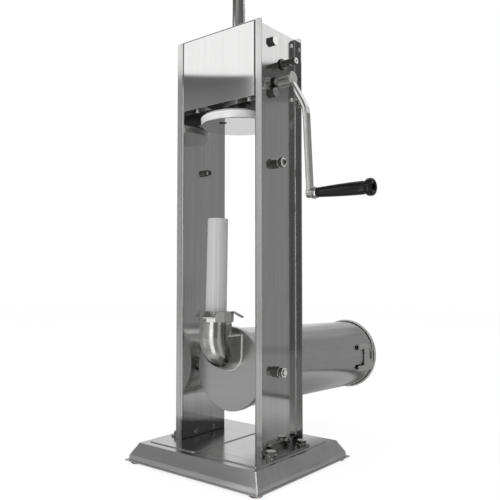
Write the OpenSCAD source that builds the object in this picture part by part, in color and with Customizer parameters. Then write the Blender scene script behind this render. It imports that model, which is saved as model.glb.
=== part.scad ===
// Vertical sausage stuffer: a pressed base, two folded channel uprights, a closed gear head
// with a hand crank, a round rack that drives a press plate, and a cylinder that tips back
// on two pivot studs. X runs to the crank side, Y to the back, Z up from the table.

/* [Base] */
// How far the base's lip stands out past the foot brackets
base_side = 33.2; // [25:0.1:60]
// How far the base's lip stands out in front of the uprights
base_front = 83.5; // [60:0.5:120]
// Height of the base top above the table
base_h = 38; // [30:1:60]
// Sheet thickness of the base
base_sheet = 2; // [1:0.1:3]
// How far the bottom lip turns out
base_lip = 5; // [3:0.5:12]
// How far the sloping wall runs in, knee to top
base_run = 13; // [6:0.5:20]
// Height of the knee where the wall turns to the skirt
base_knee = 16; // [12:0.5:22]
// How far the short skirt leans in
base_lean = 1.5; // [0.5:0.1:3]
// Height of the two pressed panels of the base's top
pad_rise = 1.5; // [0.5:0.1:3]
// Width of the channel between the two pressed panels
channel_w = 25.4; // [10:0.1:60]
// Height of the rubber feet below the lip
foot_h = 5; // [3:0.5:9]
// Radius of a rubber foot
foot_r = 12; // [8:0.5:14]

/* [Uprights] */
// Room between the cylinder's tube and each upright
side_room = 14; // [12:0.5:20]
// Room behind the large gear, up to the uprights' back edge
back_room = 8.2; // [7:0.1:20]
// How far an upright's flanges stand out from its inner face
flange_w = 17; // [14:0.5:24]
// Sheet thickness of the uprights
upright_sheet = 1.8; // [1.2:0.1:2.5]
// Outer radius of the folds in the uprights
fold_r = 3.5; // [2.6:0.1:5]
// Radius of the flanges' top corners
flange_corner_r = 6; // [2:0.5:12]

/* [Head] */
// Distance of the upper shaft below the top
drive_down = 63; // [58:0.5:80]
// How far the press plate's lower face hangs below the head
press_down = 33.4; // [32:0.1:60]
// Sheet thickness of the head's panels and cover
panel_sheet = 1.5; // [1:0.1:2]
// How far the panels' lips and sides are folded back
panel_fold = 25; // [18:0.5:26]
// Thickness of the plates that carry the gears and the rack
plate_t = 4; // [3:0.5:5]
// Depth of the plate tabs that are bolted to the uprights
tab_d = 68; // [50:1:72]
// Thickness of the upright gear bearing plate
gear_plate_t = 6; // [5:0.5:10]

/* [Gears and shafts] */
// Module of the rack and its pinion
rack_module = 2.5; // [2:0.1:2.6]
// Teeth on the rack pinion
rack_pinion_teeth = 10; // [9:1:10]
// Module of the reduction gears
gear_module = 2; // [1.5:0.1:2]
// Teeth on the crank shaft's pinion
input_teeth = 12; // [11:1:14]
// Teeth on the large gear
gear_teeth = 36; // [30:1:36]
// Pressure angle of all teeth
pressure_angle = 25; // [22:1:27]
// Radius of the two shafts
shaft_r = 7; // [6:0.1:7.5]
// Width of the rack pinion
rack_pinion_w = 26; // [16:1:40]
// Width of the large gear
gear_w = 12; // [8:1:14]

/* [Rack and press plate] */
// Radius of the round rack
rack_r = 13; // [12:0.1:13.5]
// How far the rack stands out above the head
rack_out = 465; // [360:1:560]
// Room between the upright cylinder's rim and the press plate
load_gap = 57.6; // [40:0.1:120]
// Thickness of the press plate
press_t = 19; // [16:0.5:20]
// Gap between the press plate's rim and the tube's bore
press_play = 1.2; // [0.8:0.1:3]
// How far the press plate's lower face is drawn in from its rim
press_taper = 2.2; // [0.5:0.1:5]
// Radius of the air valve's ring
valve_r = 8; // [6:0.1:10]
// Distance of the air valve from the centre
valve_offset = 45; // [35:0.5:55]
// How far the valve pin can lift
valve_lift = 3; // [1:0.1:3.5]

/* [Crank] */
// Radius of the crank's hub
hub_r = 13.5; // [12:0.1:15]
// Length of the crank's hub
hub_l = 41; // [36:0.5:48]
// Width of the crank's arm
arm_w = 16.5; // [13:0.1:17]
// Thickness of the crank's arm
arm_t = 9; // [6:0.1:12]
// Distance from the crank shaft down to the handle
crank_throw = 220; // [180:1:260]
// How far the arm's bend stands out past the hub's outer end
arm_reach = 28; // [20:1:40]
// Length of the handle grip
grip_l = 119; // [90:1:140]
// Radius of the handle's knob
knob_r = 15.5; // [13:0.1:18]

/* [Cylinder] */
// Outer radius of the cylinder's tube
tube_r = 78; // [77.8:0.1:78.4]
// Wall of the tube
tube_wall = 1.2; // [0.8:0.1:1.3]
// Height of the pivot above the table
pivot_z = 183; // [175:1:200]
// Length of the tube past the pivot
tube_above = 424; // [412:1:440]
// Length of the tube on the outlet side of the pivot
tube_below = 29; // [27:0.5:40]
// Radius of the rolled rim's bead
rim_bead_r = 3.2; // [2:0.1:3.5]
// How far the bottom cap stands out past the tube
cap_over = 3.6; // [2:0.1:6]
// How far the cylinder lies back from upright, in degrees
tilt_back = 91.5; // [85:0.5:95]
// Radius of the pivot and lock studs
stud_r = 7; // [6:0.1:7.5]
// Distance of the lock studs below the upright cylinder's rim
lock_down = 27; // [19.5:0.5:30]

/* [Outlet] */
// Outer radius of the outlet elbow
elbow_r = 31; // [28:0.1:32]
// Wall of the outlet elbow
elbow_wall = 1.5; // [1:0.1:2]
// How far the elbow's flat top stands in from the tube's edge
elbow_inset = 11.5; // [8:0.5:14]
// Straight length of the elbow's outlet
outlet_l = 21.5; // [15:0.5:26]
// Outer radius of the nozzle at its base
nozzle_r = 20.25; // [16:0.05:21]
// Length of the nozzle above its flange
nozzle_l = 185; // [120:1:185]
// Wall of the nozzle
nozzle_wall = 2; // [1:0.1:3]
// Wall of the wing nut's twelve-sided skirt
nut_wall = 2.5; // [2:0.1:5]
// How far the wing nut's ears stand out past its skirt
ear_out = 20; // [9:0.5:20]

/* [Hidden] */

$fn = 96;
// Overrun of every cut, and the clearances
cut = 1;
bolt_gap = 0.2;
run_gap = 0.05;
sheet_gap = 0.5;
face_gap = 0.2;

// Hexagon sizes: across flats and height for each bolt size
m6_af = 10;
m6_h = 4.5;
m6_r = 3;
m10_af = 17;
m10_corner_r = m10_af / sqrt(3);
m10_h = 8.4;
m10_r = 5;
m4_r = 2;
m4_head_r = 3.8;
m4_head_h = 2.6;
m5_r = 2.5;
m5_head_r = 4.6;
m5_head_h = 3;
washer_t = 1.6;
washer_r = 10.5;
button_h = 2.4;
button_r = 5.4;
foot_bolt_head_h = 6.4;
// How far a thread shows past its nut
thread_out = 1.2;

// Shafts: the rack's pinion sits behind the rack, the crank below and in front of it
rack_pitch_r = rack_module * rack_pinion_teeth / 2;
rack_addendum_share = 0.9;
rack_root_share = 1.15;
rack_pitch_y = rack_r / 2;
drive_y = rack_pitch_y + rack_pitch_r;
gear_distance = gear_module * (gear_teeth + input_teeth) / 2;
gear_tip_r = gear_module * (gear_teeth / 2 + rack_addendum_share);
gear_line = 240.8;
gear_drop = -gear_distance * sin(gear_line);
crank_y = drive_y + gear_distance * cos(gear_line);
bush_wall = 2;
bush_r = shaft_r + bush_wall;
bush_lip = 2;
bush_flange_r = bush_r + bush_lip;

// Uprights
web_x = tube_r + side_room;
web_out = web_x + upright_sheet;
flange_x = web_x + flange_w;
half_d = drive_y + gear_tip_r + back_room;
upright_d = 2 * half_d;

// Foot brackets
base_seat = base_h + pad_rise;
bracket_t = 3;
bracket_short = 5;
bracket_l = upright_d - 2 * bracket_short;
bracket_out = 38;
bracket_leg = 13;
bracket_corner_r = 8;
bracket_bolt_y = 26;
bracket_bolt_up = 6;
bracket_bolt_z = base_seat + bracket_t + bracket_bolt_up;
foot_bolt_y = 49;
foot_bolt_out = 23.5;
foot_bolt_x = web_out + foot_bolt_out;

// Base
base_w = 2 * (web_out + bracket_out + base_side);
base_d = upright_d + 2 * base_front;
lip_top = foot_h + base_sheet;
skirt_in = base_lip;
top_in = base_lip + base_lean + base_run;
pad_side_in = 9;
pad_front_in = 17;
pad_x = channel_w / 2;
pad_w = base_w / 2 - top_in - pad_side_in - pad_x;
pad_l = base_d - 2 * top_in - 2 * pad_front_in;
pad_corner_r = 8;
gusset_w = 30;
foot_inset = 17;
foot_recess_r = 6;
foot_recess_h = 2.4;
foot_chamfer = 1;
foot_nut_h = 3.2;
foot_nut_af = 7;

// Head: its height follows the two shafts and the bolts under the lower one
head_bolt_y = -12;
bolt_room = 1.6;
nut_room = 0.7;
ceiling_nut_room = 2.2;
bolt_reach = bush_flange_r + m10_corner_r + bolt_room;
bolt_drop = sqrt(pow(bolt_reach, 2) - pow(crank_y - head_bolt_y, 2));
floor_bolt_up = m10_corner_r + nut_room;
ceiling_bolt_down = m10_corner_r + ceiling_nut_room;
head_h = drive_down + gear_drop + bolt_drop + floor_bolt_up + plate_t + panel_sheet;
press_z = pivot_z + tube_above + load_gap;
head_z = press_z + press_down;
machine_h = head_z + head_h;
drive_z = machine_h - drive_down;
crank_z = drive_z - gear_drop;
rack_top = machine_h + rack_out;
floor_z = head_z + panel_sheet;
floor_top = floor_z + plate_t;
cover_z = machine_h - 2 * panel_sheet;
ceiling_drop = 7;
ceiling_top = cover_z - ceiling_drop;
ceiling_z = ceiling_top - plate_t;
panel_x = web_x - sheet_gap;
plate_x = panel_x - panel_sheet - sheet_gap;
plate_y = half_d - panel_sheet - sheet_gap;
tab_x = web_x - bolt_gap / 2;
tab_l = 20.5;
floor_bolt_z = floor_top + floor_bolt_up;
ceiling_bolt_z = ceiling_z - ceiling_bolt_down;
side_screw_in = 15;
side_screw_up = 16;
side_screw_down = 17;
side_screw_y = half_d - side_screw_in;
side_screw_low = head_z + side_screw_up;
side_screw_high = machine_h - side_screw_down;
lip_screw_in = 25;
lip_screw_back = 16;
lip_screw_x = web_x - lip_screw_in;
lip_screw_y = half_d - lip_screw_back;
lip_screw_l = panel_sheet + plate_t + thread_out;
side_screw_l = 8;
cover_screw_l = 6;

// Rack and gears
backlash = 0.16;
tooth_steps = 4;
rack_pitch = PI * rack_module;
rack_plain_low = 26;
rack_plain_high = 15;
rack_teeth_low = press_z + press_t + rack_plain_low;
rack_teeth_high = rack_top - rack_plain_high;
rack_chamfer = 1.5;
gear_inset = 33;
gear_x = web_x - gear_inset;
input_w = gear_w + 3;
gear_hub_r = 12;
gear_hub_l = 7;
gear_web_t = 5;
gear_rim = 5;
gear_hole_r = 6;
gear_holes = 5;
key_w = 4;
key_h = 4;
key_inset = 1;
clip_t = 1.2;
clip_out = 3;
clip_deep = 0.6;
clip_play = 0.4;
clip_r = shaft_r - clip_deep;

// Gear plate and bushes
cover_hole_gap = 1.5;
gear_plate_inset = 56;
gear_plate_x = web_x - gear_plate_inset;
gear_plate_lap = 12.6;
gear_plate_tail = 16;
gear_plate_front = crank_y - bush_r - gear_plate_lap;
gear_plate_back = drive_y + bush_r + gear_plate_tail;
gear_screw_in = 8;
gear_screw_back = half_d - panel_fold - m5_head_r - sheet_gap;
gear_screw_y = [gear_plate_front + gear_screw_in, gear_screw_back];
gear_screw_l = 14;
bush_flange_t = 2.4;
bush_in = 7;
rack_bush_wall = 5;
rack_bush_lip = 4;
rack_bush_r = rack_r + rack_bush_wall;
rack_bush_flange_r = rack_bush_r + rack_bush_lip;
rack_bush_flange_t = 3;
rack_bush_l = 16;
drive_out = 35;
drive_left_out = 4;
drive_end = web_out + drive_out;
drive_left = web_out + bush_flange_t + drive_left_out;
drive_flat_l = 13;
drive_flat_deep = 1.8;
centre_hole_r = 1.8;
centre_hole_l = 6;
shaft_chamfer = 1;
drive_clip_x = [-web_out - bush_flange_t - clip_t - face_gap, web_out + bush_flange_t + face_gap,
  -rack_pinion_w / 2 - clip_t, rack_pinion_w / 2, gear_x + gear_w + gear_hub_l];
crank_clip_x = gear_plate_x - clip_t - face_gap;

// Press plate
tube_in_r = tube_r - tube_wall;
press_r = tube_in_r - press_play;
press_face_r = press_r - press_taper;
press_fillet = 3.5;
press_bevel = 4;
press_boss_r = 20;
press_boss_h = 8;
press_socket = 4;
seal_down = 8;
seal_z = press_z + press_t - seal_down;
seal_h = 3.2;
seal_deep = 4;
seal_proud = 0.6;
rack_pin_r = 3;
rack_pin_z = press_z + press_t + press_boss_h / 2;
rack_pin_short = 2;
rack_pin_l = 2 * (press_boss_r - rack_pin_short);
valve_angle = -94;
valve_flange_t = 2;
valve_proud = 0.4;
valve_bore_r = 1.6;
valve_stem_r = 6;
valve_out = 4.4;
valve_top = press_z + press_t + valve_out;
valve_chamber_r = 4.1;
valve_seat_up = 5;
valve_seat_z = press_z + valve_seat_up;
valve_cone_h = 2.5;
valve_roof = 1.6;
valve_pin_r = 2;
valve_head_h = valve_top - valve_roof - valve_seat_z - run_gap - valve_lift - face_gap;
valve_pin_out = 3.2;
valve_pin_top = valve_top + valve_pin_out;

// Crank
hub_gap = 0.8;
hub_x = web_out + bush_flange_t + hub_gap;
hub_out = hub_x + hub_l;
hub_cone_l = 12;
hub_wall = 2;
hub_cone_r = shaft_r + hub_wall;
hub_cap = 6;
hub_bore_l = hub_l - hub_cap;
hub_edge = 1;
hub_screw_in = 22;
hub_screw_x = hub_x + hub_screw_in;
hub_screw_r = 3;
crank_shaft_past = 3;
crank_shaft_left = gear_plate_x - clip_t - crank_shaft_past;
crank_shaft_end = hub_x + hub_bore_l;
arm_root_in = 8;
arm_root_x = hub_out - arm_root_in;
arm_bend_x = hub_out + arm_reach;
arm_bend_drop = 60;
arm_splay = 8;
handle_x = arm_bend_x + arm_splay;
handle_z = crank_z - crank_throw;
arm_bevel = 2.4;
arm_bend_r = 12;
arm_steps = 3;
eye_lip = 0.6;
eye_r = arm_w / 2 + eye_lip;
spindle_r = 4;
spindle_head_r = 6.4;
spindle_head_h = 3.2;
ferrule_l = 5;
ferrule_r = 10.5;
ferrule_lip_r = 11.4;
ferrule_edge = 1;
ferrule_x = handle_x + arm_t / 2 + face_gap;
grip_x = ferrule_x + ferrule_l;
grip_start = grip_x + face_gap;
grip_r = 9;
grip_swell_r = 12;
grip_neck_r = 11;
knob_l = 13;
knob_round = 5;
grip_cap = 5;
spindle_end = grip_x + grip_l - grip_cap;

// Cylinder, in its upright place with the pivot at the origin
cap_r = tube_r + cap_over;
rim_r = tube_in_r + rim_bead_r;
rim_z = tube_above - rim_bead_r;
cap_t = 2.5;
cap_skirt = 12;
cap_skirt_gap = 0.1;
cap_edge = 0.8;
elbow_in_r = elbow_r - elbow_wall;
stud_tip_gap = 1;
stud_tip = tube_r + stud_tip_gap;
pivot_boss_r = 16;
pivot_play = 0.9;
pivot_face = web_x - pivot_play;
pivot_washer_t = 0.6;
pivot_bolt_len = 20.5;
stud_shank_r = 6;
stud_nut_af = 18;
nut_step_h = 1;
lock_nut_turn = 18;
stud_chamfer = 1.2;
lock_stand_off = 1;
lock_bracket_x = tube_r + lock_stand_off;
lock_bracket_t = 3;
lock_bracket_half = 31;
lock_bracket_low = 56;
lock_wall = 3;
lock_slot_gap = 0.3;
lock_edge = 4.2;
lock_bracket_high = stud_r + lock_slot_gap + lock_edge;
lock_notch = 27;
lock_notch_half = 19;
lock_lead = 5;
lock_at = tube_above - lock_down;
lock_z = pivot_z + lock_at;

// Outlet, in the same upright place
elbow_stub = 2.5;
elbow_throat = 7;
elbow_bend_r = elbow_r + elbow_throat;
elbow_bend_z = -tube_below - elbow_stub;
elbow_bend_y = elbow_inset - tube_r;
outlet_offset = -elbow_bend_y - elbow_bend_r;
outlet_z = elbow_bend_z - elbow_bend_r;
outlet_end = -elbow_bend_y + outlet_l;
collar_step = 1;
collar_wall = 3;
collar_r = elbow_r - collar_step;
collar_in_r = collar_r - collar_wall;
collar_l = 16;
nozzle_flange_in = 2;
flange_r = collar_r - nozzle_flange_in;
nozzle_flange_t = 3;
nozzle_taper = 0.75;
nozzle_tip_r = nozzle_r - nozzle_taper;
nut_w = 2 * (collar_r + nut_wall);
ear_reach = nut_w / 2 + ear_out;
nut_skirt_l = 20;
nut_gap = 4.5;
nut_low = outlet_end + nut_gap;
nut_roof = outlet_end + collar_l + nozzle_flange_t + face_gap;
nut_top = nut_low + nut_skirt_l;
nut_neck_gap = 0.8;
nut_neck_r = nozzle_r + nut_neck_gap;
nut_edge = 1;
nut_sides = 12;
ear_count = 3;
ear_turn = 55;
ear_w = 20;
ear_t = 2.6;
ear_drop = 10;
ear_root_in = 6.5;
ear_root = nut_w / 2 - ear_root_in;
ear_fold_out = 2;

// Tooth shape: half the angle that a tooth takes at radius rho
function involute_angle(ratio) = ratio * 180 / PI - atan(ratio);
function flank_ratio(rho, base_radius) = sqrt(max(0, pow(rho / base_radius, 2) - 1));
function tooth_half(rho, size, teeth) =
  90 / teeth - backlash / size / teeth * 90 / PI + involute_angle(tan(pressure_angle))
  - involute_angle(flank_ratio(rho, size * teeth / 2 * cos(pressure_angle)));
function polar(radius, angle) = [radius * cos(angle), radius * sin(angle)];

// One gear's outline, with a tooth on the +X side
function gear_outline(size, teeth) =
  let (root = size * (teeth / 2 - rack_root_share))
  let (tip = size * (teeth / 2 + rack_addendum_share))
  let (low = max(root, size * teeth / 2 * cos(pressure_angle)))
  let (radii = [for (i = [0:tooth_steps]) low + (tip - low) * i / tooth_steps])
  let (foot = tooth_half(low, size, teeth))
  [for (k = [0:teeth - 1]) let (turn = k * 360 / teeth) each concat(
    [polar(root, turn - foot)],
    [for (i = [0:tooth_steps]) polar(radii[i], turn - tooth_half(radii[i], size, teeth))],
    [for (i = [tooth_steps:-1:0]) polar(radii[i], turn + tooth_half(radii[i], size, teeth))],
    [polar(root, turn + foot)]
  )];

// A flat outline in Y and Z, drawn out along X
module along_x(start, length) {
  translate([start, 0, 0]) rotate([90, 0, 90]) linear_extrude(length) children();
}

// A rod or a bore along X
module rod_x(start, length, radius) {
  translate([start, 0, 0]) rotate([0, 90, 0]) cylinder(h = length, r = radius);
}

// A block from its lowest to its highest corner
module block(low, high) {
  translate(low) cube(high - low);
}

// A hexagon along Z
module hexagon(across, height) {
  cylinder(h = height, r = across / sqrt(3), $fn = 6);
}

// A pan head screw along Z: its head below zero, its shank above
module pan_screw(shank_r, head_r, head_h, length) {
  cylinder(h = length, r = shank_r);
  rotate_extrude() polygon([
    [0, -head_h], [head_r * 0.7, -head_h], [head_r, -head_h * 0.55], [head_r, 0], [0, 0]
  ]);
}

// Both sides of the machine, mirrored
module both_sides() {
  children();
  mirror([1, 0, 0]) children();
}

// Front and back, mirrored
module both_ends() {
  children();
  mirror([0, 1, 0]) children();
}

// Puts upright cylinder parts in the place where they lie back
module lying() {
  translate([0, 0, pivot_z]) rotate([-tilt_back, 0, 0]) children();
}

// Outline of the base across one direction, half its width given
module base_outline(half, thick) {
  lip = half - (thick > 0 ? base_lip : 0);
  right = thick > 0 ? [
    [lip - thick, 0],
    [lip - thick, lip_top],
    [lip - base_lean - thick, base_knee - thick / 2],
    [lip - base_lean - base_run - thick / 2, base_h - thick]
  ] : [
    [half, foot_h],
    [half, lip_top],
    [half - skirt_in, lip_top],
    [half - skirt_in - base_lean, base_knee],
    [half - top_in, base_h]
  ];
  left = [for (i = [len(right) - 1:-1:0]) [-right[i].x, right[i].y]];
  polygon(concat(right, left));
}

// The two outlines crossed give walls with mitred corners
module base_form(thick) {
  intersection() {
    translate([0, base_d / 2, 0]) rotate([90, 0, 0]) linear_extrude(base_d)
      base_outline(base_w / 2, thick);
    translate([-base_w / 2, 0, 0]) rotate([90, 0, 90]) linear_extrude(base_w)
      base_outline(base_d / 2, thick);
  }
}

module rounded_plate(width, depth, height, radius) {
  for (x = [radius, width - radius]) {
    for (y = [radius, depth - radius]) translate([x, y, 0]) cylinder(h = height, r = radius);
  }
  translate([radius, 0, 0]) cube([width - 2 * radius, depth, height]);
  translate([0, radius, 0]) cube([width, depth - 2 * radius, height]);
}

module foot_places() {
  for (x = [-1, 1]) {
    for (y = [-1, 1]) translate([x * (base_w / 2 - foot_inset), y * (base_d / 2 - foot_inset), 0])
      children();
  }
}

// The two raised panels of the top, drawn in by the given distance
module base_panels(inset, low, height) {
  both_sides() translate([pad_x + inset, -pad_l / 2 + inset, low])
    rounded_plate(pad_w - 2 * inset, pad_l - 2 * inset, height, pad_corner_r - inset);
}

module base_tray() {
  color("gainsboro") difference() {
    union() {
      difference() {
        base_form(0);
        base_form(base_sheet);
      }
      for (x = [-1, 1]) {
        for (y = [-1, 1]) scale([x, y, 1])
          block([base_w / 2 - base_lip - base_sheet - gusset_w,
              base_d / 2 - base_lip - base_sheet - gusset_w, foot_h],
            [base_w / 2 - base_lip - base_sheet / 2, base_d / 2 - base_lip - base_sheet / 2, lip_top]);
      }
      base_panels(0, base_h - base_sheet, base_sheet + pad_rise);
    }
    base_panels(base_sheet, base_h - base_sheet - cut, pad_rise + cut);
    foot_places() cylinder(h = base_h / 2, r = m4_r + bolt_gap);
    both_sides() both_ends() translate([foot_bolt_x, foot_bolt_y, 0])
      cylinder(h = base_seat + cut, r = m10_r + bolt_gap);
  }
}

module base_feet() {
  color("dimgray") foot_places() rotate_extrude() polygon([
    [foot_recess_r, 0],
    [foot_r - foot_chamfer, 0],
    [foot_r, foot_chamfer],
    [foot_r - foot_chamfer, foot_h],
    [m4_r + bolt_gap, foot_h],
    [m4_r + bolt_gap, foot_recess_h],
    [foot_recess_r, foot_recess_h]
  ]);
}

module foot_screws() {
  color("silver") foot_places() {
    translate([0, 0, foot_recess_h])
      pan_screw(m4_r, m4_head_r, foot_recess_h - bolt_gap, lip_top + foot_nut_h - foot_recess_h + thread_out);
    translate([0, 0, lip_top]) hexagon(foot_nut_af, foot_nut_h);
  }
}

// Folded channel section: the web on the inside, flanges turned out
module channel_section() {
  inner_r = fold_r - upright_sheet;
  translate([web_x, -half_d + fold_r]) square([upright_sheet, upright_d - 2 * fold_r]);
  for (y = [-1, 1]) scale([1, y]) {
    translate([web_x + fold_r, half_d - upright_sheet]) square([flange_w - fold_r, upright_sheet]);
    translate([web_x + fold_r, half_d - fold_r]) intersection() {
      difference() {
        circle(fold_r);
        circle(inner_r);
      }
      translate([-fold_r, 0]) square(fold_r);
    }
  }
}

module stud_hole(z, radius) {
  translate([0, 0, z]) rod_x(web_x - cut, upright_sheet + 2 * cut, radius);
}

// Holes that both uprights have
module upright_holes() {
  stud_hole(pivot_z, stud_shank_r + bolt_gap);
  stud_hole(lock_z, stud_shank_r + bolt_gap);
  for (z = [floor_bolt_z, ceiling_bolt_z]) translate([0, head_bolt_y, 0])
    stud_hole(z, m10_r + bolt_gap);
  for (z = [side_screw_low, side_screw_high]) {
    for (y = [-1, 1]) translate([0, y * side_screw_y, 0]) stud_hole(z, m4_r + bolt_gap);
  }
  for (y = [-1, 1]) translate([0, y * bracket_bolt_y, 0]) stud_hole(bracket_bolt_z, m6_r + bolt_gap);
  translate([0, drive_y, 0]) stud_hole(drive_z, bush_r);
}

module upright_shell() {
  difference() {
    translate([0, 0, base_seat]) linear_extrude(machine_h - base_seat) channel_section();
    upright_holes();
    translate([flange_x - flange_corner_r, -half_d - cut, machine_h - flange_corner_r]) difference() {
      cube([flange_corner_r + cut, upright_d + 2 * cut, flange_corner_r + cut]);
      rotate([-90, 0, 0]) cylinder(h = upright_d + 2 * cut, r = flange_corner_r);
    }
  }
}

module right_upright() {
  color("gainsboro") difference() {
    upright_shell();
    translate([0, crank_y, 0]) stud_hole(crank_z, bush_r);
  }
}

module left_upright() {
  color("gainsboro") mirror([1, 0, 0]) upright_shell();
}

module foot_brackets() {
  color("silver") both_sides() difference() {
    union() {
      intersection() {
        translate([web_out - bracket_corner_r, -bracket_l / 2, base_seat])
          rounded_plate(bracket_out + bracket_corner_r, bracket_l, bracket_t, bracket_corner_r);
        block([web_out, -half_d, base_h], [web_out + bracket_out, half_d, base_seat + bracket_t]);
      }
      block([web_out, -bracket_l / 2, base_seat],
        [web_out + bracket_t, bracket_l / 2, base_seat + bracket_leg]);
    }
    both_ends() {
      translate([foot_bolt_x, foot_bolt_y, base_h]) cylinder(h = base_h, r = m10_r + bolt_gap);
      translate([0, bracket_bolt_y, bracket_bolt_z])
        rod_x(web_x - cut, upright_sheet + bracket_t + 2 * cut, m6_r + bolt_gap);
    }
  }
}

module foot_bolts() {
  seat = base_seat + bracket_t;
  under = base_seat - base_sheet - m10_h;
  color("whitesmoke") both_sides() both_ends() translate([foot_bolt_x, foot_bolt_y, 0]) {
    translate([0, 0, seat]) cylinder(h = washer_t, r = washer_r);
    translate([0, 0, seat + washer_t]) hexagon(m10_af, foot_bolt_head_h);
    translate([0, 0, under - thread_out]) cylinder(h = seat + thread_out - under, r = m10_r);
  }
}

module foot_nuts() {
  color("silver") both_sides() both_ends()
    translate([foot_bolt_x, foot_bolt_y, base_seat - base_sheet - m10_h]) difference() {
      hexagon(m10_af, m10_h);
      translate([0, 0, -cut]) cylinder(h = m10_h + 2 * cut, r = m10_r);
    }
}

// Button heads inside the web, nuts on the bracket outside
module bracket_bolts() {
  color("silver") both_sides() both_ends() translate([web_x, bracket_bolt_y, bracket_bolt_z])
    rotate([0, 90, 0]) pan_screw(m6_r, button_r, button_h, upright_sheet + bracket_t + m6_h + thread_out);
}

module bracket_nuts() {
  color("whitesmoke") both_sides() both_ends()
    translate([web_out + bracket_t, bracket_bolt_y, bracket_bolt_z]) rotate([0, 90, 0]) difference() {
      hexagon(m6_af, m6_h);
      translate([0, 0, -cut]) cylinder(h = m6_h + 2 * cut, r = m6_r);
    }
}

// Front of the head: a sheet with its top, bottom and sides folded back
module head_panel() {
  front = -half_d;
  difference() {
    block([-panel_x, front, head_z], [panel_x, front + panel_fold, machine_h]);
    block([-panel_x + panel_sheet, front + panel_sheet, head_z + panel_sheet],
      [panel_x - panel_sheet, front + panel_fold + cut, machine_h - panel_sheet]);
    for (x = [-1, 1]) {
      for (z = [side_screw_low, side_screw_high]) translate([x * panel_x, -side_screw_y, z])
        rotate([0, 90, 0]) cylinder(h = 4 * panel_sheet, r = m4_r + bolt_gap, center = true);
      translate([x * lip_screw_x, -lip_screw_y, head_z - cut])
        cylinder(h = head_h + 2 * cut, r = m4_r + bolt_gap);
    }
  }
}

module front_panel() {
  color("gainsboro") head_panel();
}

module rear_panel() {
  color("gainsboro") mirror([0, 1, 0]) head_panel();
}

module top_cover() {
  color("gainsboro") difference() {
    block([-plate_x, -plate_y, cover_z], [plate_x, plate_y, cover_z + panel_sheet]);
    translate([0, 0, cover_z - cut]) cylinder(h = panel_sheet + 2 * cut, r = rack_r + cover_hole_gap);
    both_sides() both_ends() translate([lip_screw_x, lip_screw_y, cover_z - cut])
      cylinder(h = panel_sheet + 2 * cut, r = m4_r + bolt_gap);
  }
}

// Screws through the webs, and through the lower lips into the floor plate
module panel_screws() {
  color("silver") both_sides() both_ends() {
    for (z = [side_screw_low, side_screw_high]) translate([web_out, side_screw_y, z])
      rotate([0, -90, 0]) pan_screw(m4_r, m4_head_r, m4_head_h, side_screw_l);
    translate([lip_screw_x, lip_screw_y, head_z])
      pan_screw(m4_r, m4_head_r, m4_head_h, lip_screw_l);
  }
}

module cover_screws() {
  color("silver") both_sides() both_ends() translate([lip_screw_x, lip_screw_y, machine_h])
    rotate([180, 0, 0]) pan_screw(m4_r, m4_head_r, m4_head_h, cover_screw_l);
}

// Plate between the uprights, with a tab to bolt at each side
module head_plate(z, tab_low) {
  block([-plate_x, -plate_y, z], [plate_x, plate_y, z + plate_t]);
  block([-tab_x, -tab_d / 2, z], [tab_x, tab_d / 2, z + plate_t]);
  both_sides() block([tab_x - plate_t, -tab_d / 2, tab_low], [tab_x, tab_d / 2, tab_low + tab_l]);
}

module gear_screw_holes(z) {
  for (y = gear_screw_y) translate([gear_plate_x + gear_plate_t / 2, y, z])
    cylinder(h = plate_t + 2 * cut, r = m5_r + bolt_gap);
}

module tab_holes(z) {
  both_sides() translate([0, head_bolt_y, z])
    rod_x(tab_x - plate_t - cut, plate_t + 2 * cut, m10_r + bolt_gap);
}

module head_floor() {
  color("lightgray") difference() {
    head_plate(floor_z, floor_top);
    translate([0, 0, floor_z - cut]) cylinder(h = plate_t + 2 * cut, r = rack_bush_r);
    tab_holes(floor_bolt_z);
    gear_screw_holes(floor_z - cut);
    both_sides() both_ends() translate([lip_screw_x, lip_screw_y, floor_z - cut])
      cylinder(h = plate_t + 2 * cut, r = m4_r);
  }
}

module head_ceiling() {
  color("lightgray") difference() {
    head_plate(ceiling_z, ceiling_z - tab_l);
    translate([0, 0, ceiling_z - cut]) cylinder(h = plate_t + 2 * cut, r = rack_bush_r);
    tab_holes(ceiling_bolt_z);
    gear_screw_holes(ceiling_z - cut);
  }
}

module head_bolts() {
  inner = tab_x - plate_t - m10_h - thread_out;
  color("whitesmoke") both_sides() for (z = [floor_bolt_z, ceiling_bolt_z])
    translate([web_out, head_bolt_y, z]) rotate([0, 90, 0]) {
      hexagon(m10_af, m10_h);
      translate([0, 0, inner - web_out]) cylinder(h = web_out - inner, r = m10_r);
    }
}

module head_nuts() {
  color("silver") both_sides() for (z = [floor_bolt_z, ceiling_bolt_z])
    translate([tab_x - plate_t - m10_h, head_bolt_y, z]) rotate([0, 90, 0]) difference() {
      hexagon(m10_af, m10_h);
      translate([0, 0, -cut]) cylinder(h = m10_h + 2 * cut, r = m10_r);
    }
}

// Flanged guide bush for the rack, its flange on top of the plate
module rack_bush(plate_z, low) {
  top = plate_z + plate_t;
  rotate_extrude() polygon([
    [rack_r + run_gap, low],
    [rack_bush_r, low],
    [rack_bush_r, top],
    [rack_bush_flange_r, top],
    [rack_bush_flange_r, top + rack_bush_flange_t],
    [rack_r + run_gap, top + rack_bush_flange_t]
  ]);
}

module lower_rack_bush() {
  color("tan") rack_bush(floor_z, floor_z);
}

module upper_rack_bush() {
  color("tan") rack_bush(ceiling_z, ceiling_top - rack_bush_l);
}

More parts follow.
